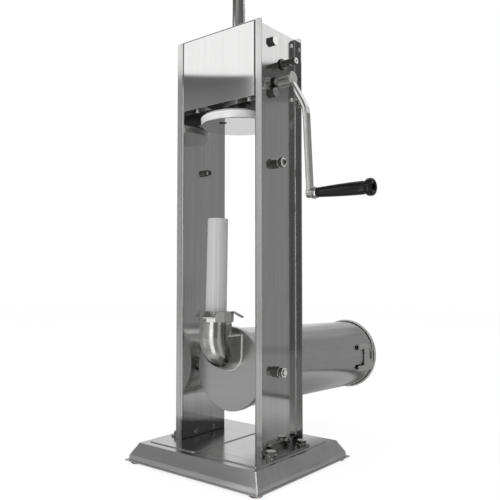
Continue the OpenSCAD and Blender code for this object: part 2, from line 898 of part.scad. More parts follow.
module gear_plate() {
  low = floor_top;
  high = ceiling_z;
  color("silver") difference() {
    block([gear_plate_x, gear_plate_front, low], [gear_plate_x + gear_plate_t, gear_plate_back, high]);
    translate([0, drive_y, drive_z]) rod_x(gear_plate_x - cut, gear_plate_t + 2 * cut, bush_r);
    translate([0, crank_y, crank_z]) rod_x(gear_plate_x - cut, gear_plate_t + 2 * cut, bush_r);
    for (y = gear_screw_y) translate([gear_plate_x + gear_plate_t / 2, y, low - cut]) {
      cylinder(h = gear_screw_l + cut, r = m5_r);
      translate([0, 0, high - low - gear_screw_l + cut]) cylinder(h = gear_screw_l + cut, r = m5_r);
    }
  }
}

module gear_plate_screws() {
  color("silver") for (y = gear_screw_y) translate([gear_plate_x + gear_plate_t / 2, y, 0]) {
    translate([0, 0, floor_z]) pan_screw(m5_r, m5_head_r, m5_head_h, gear_screw_l);
    translate([0, 0, ceiling_top]) rotate([180, 0, 0])
      pan_screw(m5_r, m5_head_r, m5_head_h, gear_screw_l);
  }
}

// Flanged shaft bush along +X: its flange starts at zero, its barrel runs back
module shaft_bush(barrel) {
  rotate([0, 90, 0]) rotate_extrude() polygon([
    [shaft_r + run_gap, -barrel],
    [bush_r, -barrel],
    [bush_r, 0],
    [bush_flange_r, 0],
    [bush_flange_r, bush_flange_t],
    [shaft_r + run_gap, bush_flange_t]
  ]);
}

module drive_shaft_bushes() {
  color("peru") translate([0, drive_y, drive_z]) {
    both_sides() translate([web_out, 0, 0]) shaft_bush(upright_sheet + bush_in);
    translate([gear_plate_x + gear_plate_t, 0, 0]) shaft_bush(gear_plate_t);
  }
}

module crank_shaft_bushes() {
  color("peru") translate([0, crank_y, crank_z]) {
    translate([web_out, 0, 0]) shaft_bush(upright_sheet + bush_in);
    translate([gear_plate_x + gear_plate_t, 0, 0]) shaft_bush(gear_plate_t);
  }
}

// Stud with a smooth inner end and a threaded end through the web
module stud() {
  rotate([0, 90, 0]) rotate_extrude() polygon([
    [0, stud_tip],
    [stud_r - stud_chamfer, stud_tip],
    [stud_r, stud_tip + stud_chamfer],
    [stud_r, web_x],
    [stud_shank_r, web_x],
    [stud_shank_r, web_out + pivot_bolt_len - stud_chamfer],
    [stud_shank_r - stud_chamfer, web_out + pivot_bolt_len],
    [0, web_out + pivot_bolt_len]
  ]);
}

// A nut and a lock nut on a stud
module stud_nuts() {
  translate([web_out, 0, 0]) rotate([0, 90, 0]) difference() {
    union() {
      hexagon(stud_nut_af, m10_h);
      translate([0, 0, m10_h]) cylinder(h = nut_step_h, r = m10_af / 2);
      translate([0, 0, m10_h + nut_step_h]) rotate([0, 0, lock_nut_turn]) hexagon(m10_af, m10_h);
    }
    translate([0, 0, -cut]) cylinder(h = 3 * m10_h, r = stud_shank_r);
  }
}

module pivot_studs() {
  color("silver") both_sides() translate([0, 0, pivot_z]) stud();
}

module lock_studs() {
  color("silver") both_sides() translate([0, 0, lock_z]) stud();
}

module pivot_nuts() {
  color("whitesmoke") both_sides() translate([0, 0, pivot_z]) stud_nuts();
}

module lock_nuts() {
  color("whitesmoke") both_sides() translate([0, 0, lock_z]) stud_nuts();
}

module pivot_washers() {
  color("ivory") both_sides() translate([0, 0, pivot_z]) difference() {
    rod_x(web_x - pivot_washer_t, pivot_washer_t, pivot_boss_r - pivot_washer_t);
    rod_x(web_x - pivot_washer_t - cut, pivot_washer_t + 2 * cut, stud_r);
  }
}

// Cutter for the rack: a comb of tooth gaps, open to the back
module rack_comb() {
  low = floor((rack_teeth_low - drive_z) / rack_pitch);
  high = floor((rack_teeth_high - drive_z) / rack_pitch);
  tip_y = rack_pitch_y + rack_module * rack_addendum_share;
  root_y = rack_pitch_y - rack_module * rack_root_share;
  mid_half = rack_pitch / 4 + backlash / 2;
  tip_half = mid_half + (tip_y - rack_pitch_y) * tan(pressure_angle);
  root_half = mid_half - (rack_pitch_y - root_y) * tan(pressure_angle);
  polygon(concat(
    [[rack_r + cut, drive_z + (low - 1) * rack_pitch], [tip_y, drive_z + (low - 1) * rack_pitch]],
    [for (k = [low:high]) let (z = drive_z + k * rack_pitch) each [
      [tip_y, z - tip_half], [root_y, z - root_half], [root_y, z + root_half], [tip_y, z + tip_half]
    ]],
    [[tip_y, rack_top + cut], [rack_r + cut, rack_top + cut]]
  ));
}

module rack_bar() {
  low = press_z + press_t - press_socket;
  color("whitesmoke") difference() {
    translate([0, 0, low]) cylinder(h = rack_top - low - rack_chamfer, r = rack_r);
    along_x(-rack_r - cut, 2 * rack_r + 2 * cut) rack_comb();
    translate([0, 0, rack_pin_z]) rod_x(-rack_r - cut, 2 * rack_r + 2 * cut, rack_pin_r);
  }
  color("whitesmoke") difference() {
    translate([0, 0, rack_top - rack_chamfer])
      cylinder(h = rack_chamfer, r1 = rack_r, r2 = rack_r - rack_chamfer);
    along_x(-rack_r - cut, 2 * rack_r + 2 * cut) rack_comb();
  }
}

module at_valve() {
  translate([valve_offset * cos(valve_angle), valve_offset * sin(valve_angle), 0]) children();
}

module press_plate() {
  top = press_z + press_t;
  color("whitesmoke") difference() {
    rotate_extrude() polygon([
      [0, press_z],
      [press_face_r, press_z],
      [press_r - (press_r - press_face_r) * 0.3, press_z + press_fillet * 0.3],
      [press_r, press_z + press_fillet],
      [press_r, seal_z],
      [press_r - seal_deep, seal_z],
      [press_r - seal_deep, seal_z + seal_h],
      [press_r, seal_z + seal_h],
      [press_r, top - press_bevel],
      [press_r - press_bevel, top],
      [press_boss_r, top],
      [press_boss_r, top + press_boss_h],
      [0, top + press_boss_h]
    ]);
    translate([0, 0, top - press_socket]) cylinder(h = press_socket + press_boss_h + cut, r = rack_r);
    translate([0, 0, rack_pin_z]) rod_x(-press_boss_r - cut, 2 * press_boss_r + 2 * cut, rack_pin_r);
    at_valve() {
      translate([0, 0, press_z - cut]) cylinder(h = cut + valve_flange_t, r = valve_r);
      translate([0, 0, press_z]) cylinder(h = press_t + cut, r = valve_stem_r);
    }
  }
}

// Seal ring in the groove near the top of the press plate's rim
module press_seal() {
  lip_r = press_r + seal_proud;
  color("ivory") rotate_extrude() polygon([
    [press_r - seal_deep, seal_z],
    [press_r, seal_z],
    [lip_r, seal_z + seal_h * 0.25],
    [lip_r, seal_z + seal_h * 0.75],
    [press_r, seal_z + seal_h],
    [press_r - seal_deep, seal_z + seal_h]
  ]);
}

module rack_pin() {
  color("silver") translate([0, 0, rack_pin_z]) rod_x(-rack_pin_l / 2, rack_pin_l, rack_pin_r);
}

module valve_body() {
  low = press_z - valve_proud;
  chamber_z = valve_seat_z + valve_cone_h;
  color("lightgray") at_valve() rotate_extrude() polygon([
    [valve_bore_r, low],
    [valve_r - valve_proud, low],
    [valve_r, press_z],
    [valve_r, press_z + valve_flange_t],
    [valve_stem_r, press_z + valve_flange_t],
    [valve_stem_r, valve_top],
    [valve_pin_r + run_gap, valve_top],
    [valve_pin_r + run_gap, valve_top - valve_roof],
    [valve_chamber_r, valve_top - valve_roof],
    [valve_chamber_r, chamber_z],
    [valve_bore_r, valve_seat_z]
  ]);
}

module valve_pin() {
  head_r = valve_chamber_r - 2 * run_gap;
  low = valve_seat_z + run_gap;
  color("tomato") at_valve() rotate_extrude() polygon([
    [0, low],
    [valve_bore_r - run_gap, low],
    [head_r, low + valve_cone_h],
    [head_r, low + valve_head_h],
    [valve_pin_r, low + valve_head_h],
    [valve_pin_r, valve_pin_top],
    [0, valve_pin_top]
  ]);
}

module key_seat(start, length) {
  translate([0, 0, shaft_r - key_h / 2]) block([start, -key_w / 2, 0], [start + length, key_w / 2, key_h]);
}

module drive_shaft() {
  left = -drive_left;
  color("silver") translate([0, drive_y, drive_z]) difference() {
    rotate([0, 90, 0]) rotate_extrude() polygon([
      [0, left],
      [shaft_r - shaft_chamfer, left],
      [shaft_r, left + shaft_chamfer],
      [shaft_r, drive_end - shaft_chamfer],
      [shaft_r - shaft_chamfer, drive_end],
      [0, drive_end]
    ]);
    block([drive_end - drive_flat_l, -shaft_r - cut, -shaft_r - cut],
      [drive_end + cut, shaft_r + cut, -shaft_r + drive_flat_deep]);
    rod_x(drive_end - centre_hole_l, centre_hole_l + cut, centre_hole_r);
    key_seat(-rack_pinion_w / 2 + key_inset, rack_pinion_w - 2 * key_inset);
    key_seat(gear_x + key_inset, gear_w - 2 * key_inset);
    for (x = drive_clip_x) clip_groove(x);
  }
}

module drive_keys() {
  color("goldenrod") translate([0, drive_y, drive_z]) {
    key_seat(-rack_pinion_w / 2 + key_inset, rack_pinion_w - 2 * key_inset);
    key_seat(gear_x + key_inset, gear_w - 2 * key_inset);
  }
}

// The keyed bore shared by the gears
module keyed_bore(start, length) {
  rod_x(start - cut, length + 2 * cut, shaft_r);
  key_seat(start - cut, length + 2 * cut);
}

// The tooth that meets the rack points to the front
module rack_pinion() {
  color("lightsteelblue") translate([0, drive_y, drive_z]) difference() {
    along_x(-rack_pinion_w / 2, rack_pinion_w)
      rotate(180) polygon(gear_outline(rack_module, rack_pinion_teeth));
    keyed_bore(-rack_pinion_w / 2, rack_pinion_w);
  }
}

module large_gear() {
  rim_in = gear_module * gear_teeth / 2 - gear_rim;
  side = (gear_w - gear_web_t) / 2;
  holes_r = (rim_in + gear_hub_r) / 2;
  color("lightsteelblue") translate([0, drive_y, drive_z]) difference() {
    union() {
      along_x(gear_x, gear_w)
        rotate(gear_line + 180 / gear_teeth) polygon(gear_outline(gear_module, gear_teeth));
      rod_x(gear_x, gear_w + gear_hub_l, gear_hub_r);
    }
    for (x = [gear_x - cut, gear_x + gear_w - side]) difference() {
      rod_x(x, side + cut, rim_in);
      rod_x(x - cut, side + 3 * cut, gear_hub_r);
    }
    for (k = [0:gear_holes - 1]) rotate([k * 360 / gear_holes, 0, 0]) translate([0, holes_r, 0])
      rod_x(gear_x - cut, gear_w + 2 * cut, gear_hole_r);
    keyed_bore(gear_x, gear_w + gear_hub_l);
  }
}

// Retaining ring in its groove on a shaft
module shaft_clip(x) {
  difference() {
    rod_x(x, clip_t, shaft_r + clip_out);
    rod_x(x - cut, clip_t + 2 * cut, clip_r);
  }
}

module clip_groove(x) {
  difference() {
    rod_x(x, clip_t + clip_play, shaft_r + cut);
    rod_x(x - cut, clip_t + clip_play + 2 * cut, clip_r);
  }
}

module drive_clips() {
  color("dimgray") translate([0, drive_y, drive_z]) {
    for (x = drive_clip_x) shaft_clip(x);
  }
}

module crank_shaft() {
  color("silver") translate([0, crank_y, crank_z]) difference() {
    rod_x(crank_shaft_left, crank_shaft_end - crank_shaft_left, shaft_r);
    key_seat(gear_x + key_inset, input_w - 2 * key_inset);
    clip_groove(crank_clip_x);
    translate([0, 0, shaft_r - key_inset])
      block([hub_screw_x - hub_screw_r - cut, -shaft_r, 0], [hub_screw_x + hub_screw_r + cut, shaft_r, shaft_r]);
  }
}

module input_pinion() {
  start = gear_x - (input_w - gear_w) / 2;
  color("lightsteelblue") translate([0, crank_y, crank_z]) difference() {
    along_x(start, input_w)
      rotate(gear_line + 180) polygon(gear_outline(gear_module, input_teeth));
    keyed_bore(start, input_w);
  }
}

module input_key() {
  color("goldenrod") translate([0, crank_y, crank_z])
    key_seat(gear_x + key_inset, input_w - 2 * key_inset);
}

module crank_clip() {
  color("dimgray") translate([0, crank_y, crank_z]) shaft_clip(crank_clip_x);
}

module crank_hub() {
  color("whitesmoke") translate([0, crank_y, crank_z]) difference() {
    rotate([0, 90, 0]) rotate_extrude() polygon([
      [0, hub_x],
      [hub_cone_r, hub_x],
      [hub_r, hub_x + hub_cone_l],
      [hub_r, hub_out - hub_edge],
      [hub_r - hub_edge, hub_out],
      [0, hub_out]
    ]);
    rod_x(hub_x - cut, hub_bore_l + cut, shaft_r);
    translate([hub_screw_x, 0, 0]) cylinder(h = hub_r + cut, r = hub_screw_r);
  }
}

module hub_screw() {
  color("dimgray") translate([hub_screw_x, crank_y, crank_z + shaft_r - key_inset]) difference() {
    cylinder(h = hub_r - shaft_r, r = hub_screw_r);
    translate([0, 0, (hub_r - shaft_r) / 2]) cylinder(h = hub_r, r = hub_screw_r / 2, $fn = 6);
  }
}

// Flat slice of the arm's bevelled section, square to a run at the given angle
module arm_slice(place, angle) {
  a = arm_t / 2;
  b = arm_w / 2;
  translate(place) rotate([0, angle, 0]) linear_extrude(face_gap) polygon([
    [-a, -b + arm_bevel], [-a + arm_bevel, -b], [a - arm_bevel, -b], [a, -b + arm_bevel],
    [a, b - arm_bevel], [a - arm_bevel, b], [-a + arm_bevel, b], [-a, b - arm_bevel]
  ]);
}

// Arm from the hub out to its bend, then down to the handle's eye
module crank_arm() {
  root = [arm_root_x, 0, 0];
  bend = [arm_bend_x, 0, -arm_bend_drop];
  eye = [handle_x, 0, -crank_throw];
  upper = atan2(bend.x - root.x, bend.z - root.z);
  lower = atan2(eye.x - bend.x, eye.z - bend.z);
  reach = norm(bend - root);
  drop = norm(eye - bend);
  before = bend - (bend - root) * arm_bend_r / reach;
  after = bend + (eye - bend) * arm_bend_r / drop;
  middle = (before + after) / 4 + bend / 2;
  color("whitesmoke") translate([0, crank_y, crank_z]) difference() {
    union() {
      hull() {
        arm_slice(root, upper);
        arm_slice(before, upper);
      }
      hull() {
        arm_slice(before, upper);
        arm_slice(middle, (upper + lower) / 2);
      }
      hull() {
        arm_slice(middle, (upper + lower) / 2);
        arm_slice(after, lower);
      }
      hull() {
        arm_slice(after, lower);
        arm_slice(eye, lower);
      }
      translate(eye) rod_x(-arm_t / 2, arm_t, eye_r);
    }
    rod_x(hub_x, hub_l + cut, hub_r);
    translate(eye) rod_x(-arm_t, 2 * arm_t, spindle_r);
  }
}

module handle_spindle() {
  head_x = handle_x - arm_t / 2;
  color("silver") translate([0, crank_y, handle_z]) rotate([0, 90, 0]) rotate_extrude() polygon([
    [0, head_x - spindle_head_h],
    [spindle_head_r * 0.6, head_x - spindle_head_h],
    [spindle_head_r, head_x - spindle_head_h * 0.4],
    [spindle_head_r, head_x],
    [spindle_r, head_x],
    [spindle_r, spindle_end],
    [0, spindle_end]
  ]);
}

module handle_ferrule() {
  color("whitesmoke") translate([0, crank_y, handle_z]) rotate([0, 90, 0]) rotate_extrude() polygon([
    [spindle_r + run_gap, ferrule_x],
    [ferrule_r - ferrule_edge, ferrule_x],
    [ferrule_r, ferrule_x + ferrule_edge],
    [ferrule_r, grip_x - 2 * ferrule_edge],
    [ferrule_lip_r, grip_x - 1.5 * ferrule_edge],
    [ferrule_lip_r, grip_x],
    [spindle_r + run_gap, grip_x]
  ]);
}

// Turned grip: slim at the arm, swelling to a neck and a knob
module handle_grip() {
  far = grip_x + grip_l;
  neck = far - knob_l;
  round_x = far - knob_round;
  round_r = knob_r - knob_round;
  color("black") translate([0, crank_y, handle_z]) rotate([0, 90, 0]) difference() {
    rotate_extrude() polygon(concat(
      [[0, grip_start], [grip_r, grip_start]],
      [[grip_r + (grip_swell_r - grip_r) * 0.45, grip_x + grip_l * 0.35]],
      [[grip_swell_r, neck - knob_l], [grip_neck_r, neck], [knob_r, round_x - knob_round / 2]],
      [for (a = [0:15:90]) [round_r + knob_round * cos(a), round_x + knob_round * sin(a)]],
      [[0, far]]
    ));
    translate([0, 0, grip_x - cut]) cylinder(h = grip_l - grip_cap + cut + run_gap, r = spindle_r + run_gap);
  }
}

module cylinder_tube() {
  color("gainsboro") lying() difference() {
    translate([0, 0, -tube_below + cap_t]) cylinder(h = rim_z + tube_below - cap_t, r = tube_r);
    translate([0, 0, -tube_below]) cylinder(h = tube_above + tube_below, r = tube_in_r);
  }
}

// Rolled rim: a bead round the open end
module cylinder_rim() {
  color("whitesmoke") lying() translate([0, 0, rim_z]) rotate_extrude()
    translate([rim_r, 0]) difference() {
      circle(rim_bead_r, $fn = 32);
      translate([-2 * rim_bead_r, -2 * rim_bead_r])
        square([rim_bead_r * 2 + tube_r - rim_r, 2 * rim_bead_r]);
      translate([-2 * rim_bead_r, -cut]) square([2 * rim_bead_r - rim_r + tube_in_r, 2 * rim_bead_r]);
    }
}

module bottom_cap() {
  low = -tube_below;
  skirt_r = tube_r + cap_skirt_gap;
  color("gainsboro") lying() difference() {
    rotate_extrude() polygon([
      [0, low],
      [cap_r - cap_edge, low],
      [cap_r, low + cap_edge],
      [cap_r, low + cap_skirt],
      [skirt_r, low + cap_skirt],
      [skirt_r, low + cap_t],
      [0, low + cap_t]
    ]);
    translate([0, -outlet_offset, low - cut]) cylinder(h = cap_t + 2 * cut, r = elbow_in_r);
  }
}

// Bosses saddled on the tube that turn on the pivot studs
module pivot_brackets() {
  color("whitesmoke") lying() both_sides() difference() {
    rod_x(tube_r - pivot_boss_r / 3, pivot_face - tube_r + pivot_boss_r / 3, pivot_boss_r);
    translate([0, 0, -pivot_boss_r - cut]) cylinder(h = 2 * pivot_boss_r + 2 * cut, r = tube_r);
    rod_x(tube_r - pivot_boss_r, 2 * pivot_boss_r, stud_r + run_gap);
  }
}

// Pressed lock bracket: a plate stood off the tube on two walls, slotted for the lock stud
module lock_brackets() {
  low = lock_at - lock_bracket_low;
  high = lock_at + lock_bracket_high;
  half = lock_bracket_half;
  face = lock_bracket_x;
  slot = stud_r + lock_slot_gap;
  color("lightgray") lying() both_sides() difference() {
    block([tube_r / 2, -half, low], [face + lock_bracket_t, half, high]);
    block([0, -half + lock_wall, low - cut], [face, half - lock_wall, high + cut]);
    translate([0, 0, low - cut]) cylinder(h = high - low + 2 * cut, r = tube_r);
    translate([0, 0, lock_at]) rod_x(0, 2 * tube_r, slot);
    block([0, -half - cut, lock_at - slot], [2 * tube_r, 0, lock_at + slot]);
    along_x(0, 2 * tube_r) polygon([
      [-half - cut, lock_at - slot - lock_lead], [-half + lock_lead, lock_at - slot],
      [-half + lock_lead, lock_at + slot], [-half - cut, lock_at + slot]
    ]);
    block([face - cut, -lock_notch_half, low - cut],
      [face + lock_bracket_t + cut, lock_notch_half, low + lock_notch]);
  }
}

// Elbow's section: round on the outside, with flat sides in to the bend's corner
module elbow_section(radius, corner) {
  translate([elbow_bend_r, 0]) circle(radius, $fn = 96);
  translate([corner, -radius]) square([elbow_bend_r - corner, 2 * radius]);
}

// Quarter turn of the section, and its short straight end at the cap
module elbow_bend(radius, corner, stub) {
  translate([0, elbow_bend_y, elbow_bend_z]) {
    rotate([0, -90, 0]) rotate([0, 0, 90]) rotate_extrude(angle = 90) elbow_section(radius, corner);
    linear_extrude(stub) rotate(90) elbow_section(radius, corner);
  }
}

module outlet_elbow() {
  inside_y = elbow_bend_y + elbow_wall;
  color("whitesmoke") lying() difference() {
    union() {
      elbow_bend(elbow_r, 0, elbow_stub);
      translate([0, elbow_bend_y, outlet_z]) rotate([90, 0, 0]) cylinder(h = outlet_l, r = elbow_r);
    }
    intersection() {
      elbow_bend(elbow_in_r, elbow_wall, elbow_stub + cut);
      block([-elbow_r, inside_y, 2 * outlet_z], [elbow_r, tube_r, 0]);
    }
    translate([0, inside_y + cut, outlet_z]) rotate([90, 0, 0])
      cylinder(h = outlet_l + elbow_wall + 2 * cut, r = elbow_in_r);
  }
}

// Puts outlet parts on the outlet's axis, distances counted from the pivot
module on_outlet() {
  lying() translate([0, 0, outlet_z]) rotate([90, 0, 0]) children();
}

module elbow_collar() {
  color("silver") on_outlet() difference() {
    translate([0, 0, outlet_end]) cylinder(h = collar_l, r = collar_r);
    translate([0, 0, outlet_end - cut]) cylinder(h = collar_l + 2 * cut, r = collar_in_r);
  }
}

module filling_nozzle() {
  low = outlet_end + collar_l;
  color("white") on_outlet() rotate_extrude() polygon([
    [nozzle_r - nozzle_wall, low],
    [flange_r, low],
    [flange_r, low + nozzle_flange_t],
    [nozzle_r, low + nozzle_flange_t],
    [nozzle_tip_r, low + nozzle_l],
    [nozzle_tip_r - nozzle_wall, low + nozzle_l]
  ]);
}

// Ear folded out and down from the wing nut's top
module nut_ear() {
  fold = nut_w / 2 + ear_fold_out;
  rotate([90, 0, 0]) translate([0, 0, -ear_w / 2]) linear_extrude(ear_w) polygon([
    [ear_root, nut_top - ear_t],
    [fold - ear_t / 2, nut_top - ear_t],
    [ear_reach - ear_t / 2, nut_top - ear_t - ear_drop],
    [ear_reach, nut_top - ear_drop],
    [fold, nut_top],
    [ear_root, nut_top]
  ]);
}

module wing_nut() {
  color("silver") on_outlet() difference() {
    union() {
      translate([0, 0, nut_low]) intersection() {
        rotate(ear_turn + 180 / nut_sides)
          cylinder(h = nut_skirt_l, r = nut_w / 2 / cos(180 / nut_sides), $fn = nut_sides);
        rotate_extrude() polygon([
          [0, 0], [nut_w / 2 + nut_edge, 0], [nut_w, nut_edge], [nut_w, nut_skirt_l - 2 * nut_edge],
          [nut_w / 2 - nut_edge, nut_skirt_l], [0, nut_skirt_l]
        ]);
      }
      for (k = [0:ear_count - 1]) rotate(ear_turn + k * 360 / ear_count) nut_ear();
    }
    translate([0, 0, nut_low - cut]) cylinder(h = nut_roof - nut_low + cut, r = collar_r + run_gap);
    translate([0, 0, nut_low]) cylinder(h = nut_skirt_l + cut, r = nut_neck_r);
  }
}

base_tray();
base_feet();
foot_screws();
left_upright();
right_upright();
foot_brackets();
foot_bolts();
foot_nuts();
bracket_bolts();
bracket_nuts();
front_panel();
rear_panel();
top_cover();
panel_screws();
cover_screws();
head_floor();
head_ceiling();
head_bolts();
head_nuts();
lower_rack_bush();
upper_rack_bush();
gear_plate();
gear_plate_screws();
drive_shaft_bushes();
crank_shaft_bushes();
pivot_studs();
pivot_nuts();
pivot_washers();
lock_studs();
lock_nuts();
rack_bar();
press_plate();
press_seal();
rack_pin();
valve_body();
valve_pin();
drive_shaft();
rack_pinion();
large_gear();
drive_keys();
drive_clips();
crank_shaft();
input_pinion();
input_key();
crank_clip();
crank_hub();
hub_screw();
crank_arm();
handle_spindle();
handle_ferrule();
handle_grip();
cylinder_tube();
cylinder_rim();
bottom_cap();
pivot_brackets();
lock_brackets();
outlet_elbow();
elbow_collar();
filling_nozzle();
wing_nut();
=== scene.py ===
import math

import bmesh
import bpy
from mathutils import Matrix, Vector


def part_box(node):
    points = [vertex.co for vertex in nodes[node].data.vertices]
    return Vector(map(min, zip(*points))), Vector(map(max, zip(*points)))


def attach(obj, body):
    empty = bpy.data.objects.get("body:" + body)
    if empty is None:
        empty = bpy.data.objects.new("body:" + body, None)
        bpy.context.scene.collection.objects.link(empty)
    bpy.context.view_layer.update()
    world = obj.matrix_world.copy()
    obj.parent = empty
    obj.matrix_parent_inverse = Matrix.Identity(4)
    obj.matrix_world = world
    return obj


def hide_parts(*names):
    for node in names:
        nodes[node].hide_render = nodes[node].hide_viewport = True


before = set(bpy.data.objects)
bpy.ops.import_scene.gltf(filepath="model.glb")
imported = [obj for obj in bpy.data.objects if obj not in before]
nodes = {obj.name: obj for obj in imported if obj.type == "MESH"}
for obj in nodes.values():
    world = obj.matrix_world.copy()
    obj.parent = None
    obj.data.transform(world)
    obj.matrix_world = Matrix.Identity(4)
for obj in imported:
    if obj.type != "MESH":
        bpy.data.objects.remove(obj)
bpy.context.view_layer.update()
print("frame loaded,", len(nodes), "solids")

mm = 0.001


# Place and reach in metres, turn and tilt in degrees, lens and sensor in millimetres
camera = {"place": (0.7896, -0.9419, 0.3610), "turn": 38.91, "tilt": 2.57,
          "lens": 44.25, "sensor": 36, "reach": 50}


def makeCamera():
    data = bpy.data.cameras.new("camera")
    data.lens = camera["lens"]
    data.sensor_width = camera["sensor"]
    data.clip_end = camera["reach"]
    eye = bpy.data.objects.new("camera", data)
    eye.location = camera["place"]
    eye.rotation_euler = (math.radians(90 + camera["tilt"]), 0, math.radians(camera["turn"]))
    bpy.context.collection.objects.link(eye)
    bpy.context.scene.camera = eye


makeCamera()
print("camera placed")


def addNode(tree, kind, **settings):
    node = tree.nodes.new(kind)
    for key, value in settings.items():
        setattr(node, key, value)
    return node


# Feeds a socket, from another socket or with a plain value
def plug(tree, source, target):
    if isinstance(source, bpy.types.NodeSocket):
        tree.links.new(source, target)
    else:
        target.default_value = source


def maths(tree, how, *values):
    node = addNode(tree, "ShaderNodeMath", operation=how)
    for given, socket in zip(values, node.inputs):
        plug(tree, given, socket)
    return node.outputs[0]


def remap(tree, value, fromLow, fromHigh, toLow=0.0, toHigh=1.0, smooth=False):
    node = addNode(tree, "ShaderNodeMapRange", interpolation_type="SMOOTHSTEP" if smooth else "LINEAR")
    for socket, given in zip(node.inputs, (value, fromLow, fromHigh, toLow, toHigh)):
        plug(tree, given, socket)
    return node.outputs[0]


def blendColours(tree, factor, first, second):
    node = addNode(tree, "ShaderNodeMix", data_type="RGBA")
    plug(tree, factor, node.inputs[0])
    for given, socket in ((first, node.inputs[6]), (second, node.inputs[7])):
        plug(tree, given if isinstance(given, bpy.types.NodeSocket) else (*given, 1), socket)
    return node.outputs[2]


# X, Y and Z of a texture coordinate, such as Object or Normal
def splitCoordinate(tree, label):
    node = addNode(tree, "ShaderNodeSeparateXYZ")
    plug(tree, addNode(tree, "ShaderNodeTexCoord").outputs[label], node.inputs[0])
    return node.outputs


def fill(tree, node, **values):
    for label, value in values.items():
        plug(tree, value, node.inputs[label])


def addNoise(tree, place, **values):
    node = addNode(tree, "ShaderNodeTexNoise")
    fill(tree, node, Vector=place, **values)
    return node.outputs["Fac"]


def mixShaders(tree, factor, first, second):
    node = addNode(tree, "ShaderNodeMixShader")
    for given, socket in zip((factor, first.outputs[0], second.outputs[0]), node.inputs):
        plug(tree, given, socket)
    return node


def newGroup(name, inputs, outputs):
    tree = bpy.data.node_groups.new(name, "ShaderNodeTree")
    for label, kind, value in inputs:
        socket = tree.interface.new_socket(label, in_out="INPUT", socket_type="NodeSocket" + kind)
        socket.default_value = value
    for label, kind in outputs:
        tree.interface.new_socket(label, in_out="OUTPUT", socket_type="NodeSocket" + kind)
    return tree, tree.nodes.new("NodeGroupInput"), tree.nodes.new("NodeGroupOutput")


def useGroup(tree, group, **values):
    node = addNode(tree, "ShaderNodeGroup", node_tree=group)
    fill(tree, node, **values)
    return node


# Noise between these values spreads over 0 to 1
spreads = {"line": (0.3, 0.7), "smear": (0.42, 0.68), "rub": (0.55, 0.75)}


# Fine lines left by the brushing belt: Lines scales the pattern on each axis
def makeBrushing():
    tree, given, out = newGroup(
        "brushing",
        [("Lines", "Vector", (500, 500, 4)), ("Wide", "Float", 0.12)],
        [("Line", "Float"), ("Band", "Float")],
    )
    stretch = addNode(tree, "ShaderNodeVectorMath", operation="MULTIPLY")
    plug(tree, addNode(tree, "ShaderNodeTexCoord").outputs["Object"], stretch.inputs[0])
    plug(tree, given.outputs["Lines"], stretch.inputs[1])
    widen = addNode(tree, "ShaderNodeVectorMath", operation="SCALE")
    plug(tree, stretch.outputs[0], widen.inputs[0])
    plug(tree, given.outputs["Wide"], widen.inputs["Scale"])
    fine = addNoise(tree, stretch.outputs[0], Scale=1.0, Detail=3.0, Roughness=0.65)
    broad = addNoise(tree, widen.outputs[0], Scale=1.0, Detail=2.0)
    plug(tree, remap(tree, fine, *spreads["line"]), out.inputs["Line"])
    plug(tree, remap(tree, broad, *spreads["line"]), out.inputs["Band"])
    return tree


# How many times finer the rubs are than the smears
rubFiner = 14.0


# Soft smears and small rubs left by hands and cleaning
def makeHandling():
    tree, given, out = newGroup("handling", [("Size", "Float", 9.0)], [("Smear", "Float"), ("Rub", "Float")])
    place = addNode(tree, "ShaderNodeTexCoord").outputs["Object"]
    cloud = addNoise(tree, place, Scale=given.outputs["Size"], Detail=4.0, Distortion=0.6)
    speck = addNoise(tree, place, Scale=maths(tree, "MULTIPLY", given.outputs["Size"], rubFiner), Detail=5.0)
    plug(tree, remap(tree, cloud, *spreads["smear"], smooth=True), out.inputs["Smear"])
    plug(tree, remap(tree, speck, *spreads["rub"], smooth=True), out.inputs["Rub"])
    return tree


# Cosines between the rounded and the true normal, where an edge starts to show and where it is full
edgeCosines = (0.995, 0.9)


# Finds edges by rounding the normal: Edge is 1 on a sharp corner
def makeEdges():
    tree, given, out = newGroup("edges", [("Radius", "Float", 0.7 * mm)],
                                [("Edge", "Float"), ("Normal", "Vector")])
    soft = addNode(tree, "ShaderNodeBevel", samples=4)
    plug(tree, given.outputs["Radius"], soft.inputs["Radius"])
    flat = addNode(tree, "ShaderNodeNewGeometry")
    dot = addNode(tree, "ShaderNodeVectorMath", operation="DOT_PRODUCT")
    plug(tree, soft.outputs[0], dot.inputs[0])
    plug(tree, flat.outputs["Normal"], dot.inputs[1])
    plug(tree, remap(tree, dot.outputs["Value"], *edgeCosines), out.inputs["Edge"])
    plug(tree, soft.outputs[0], out.inputs["Normal"])
    return tree


# Where the flanges begin, how they face, and the height, rearward fall and look of the painted shade low on
# the webs' inner faces
folding = {"start": 96.5 * mm, "startSoft": 1 * mm, "middleSoft": 10 * mm, "facing": (-0.7, -0.9),
           "flangeMetal": 0.85, "innerSoft": 0.02, "footTop": 76 * mm, "footFall": 0.185, "footSoft": 14 * mm,
           "footShadeMix": 0.85, "footShadeTone": (0.05, 0.05, 0.05)}
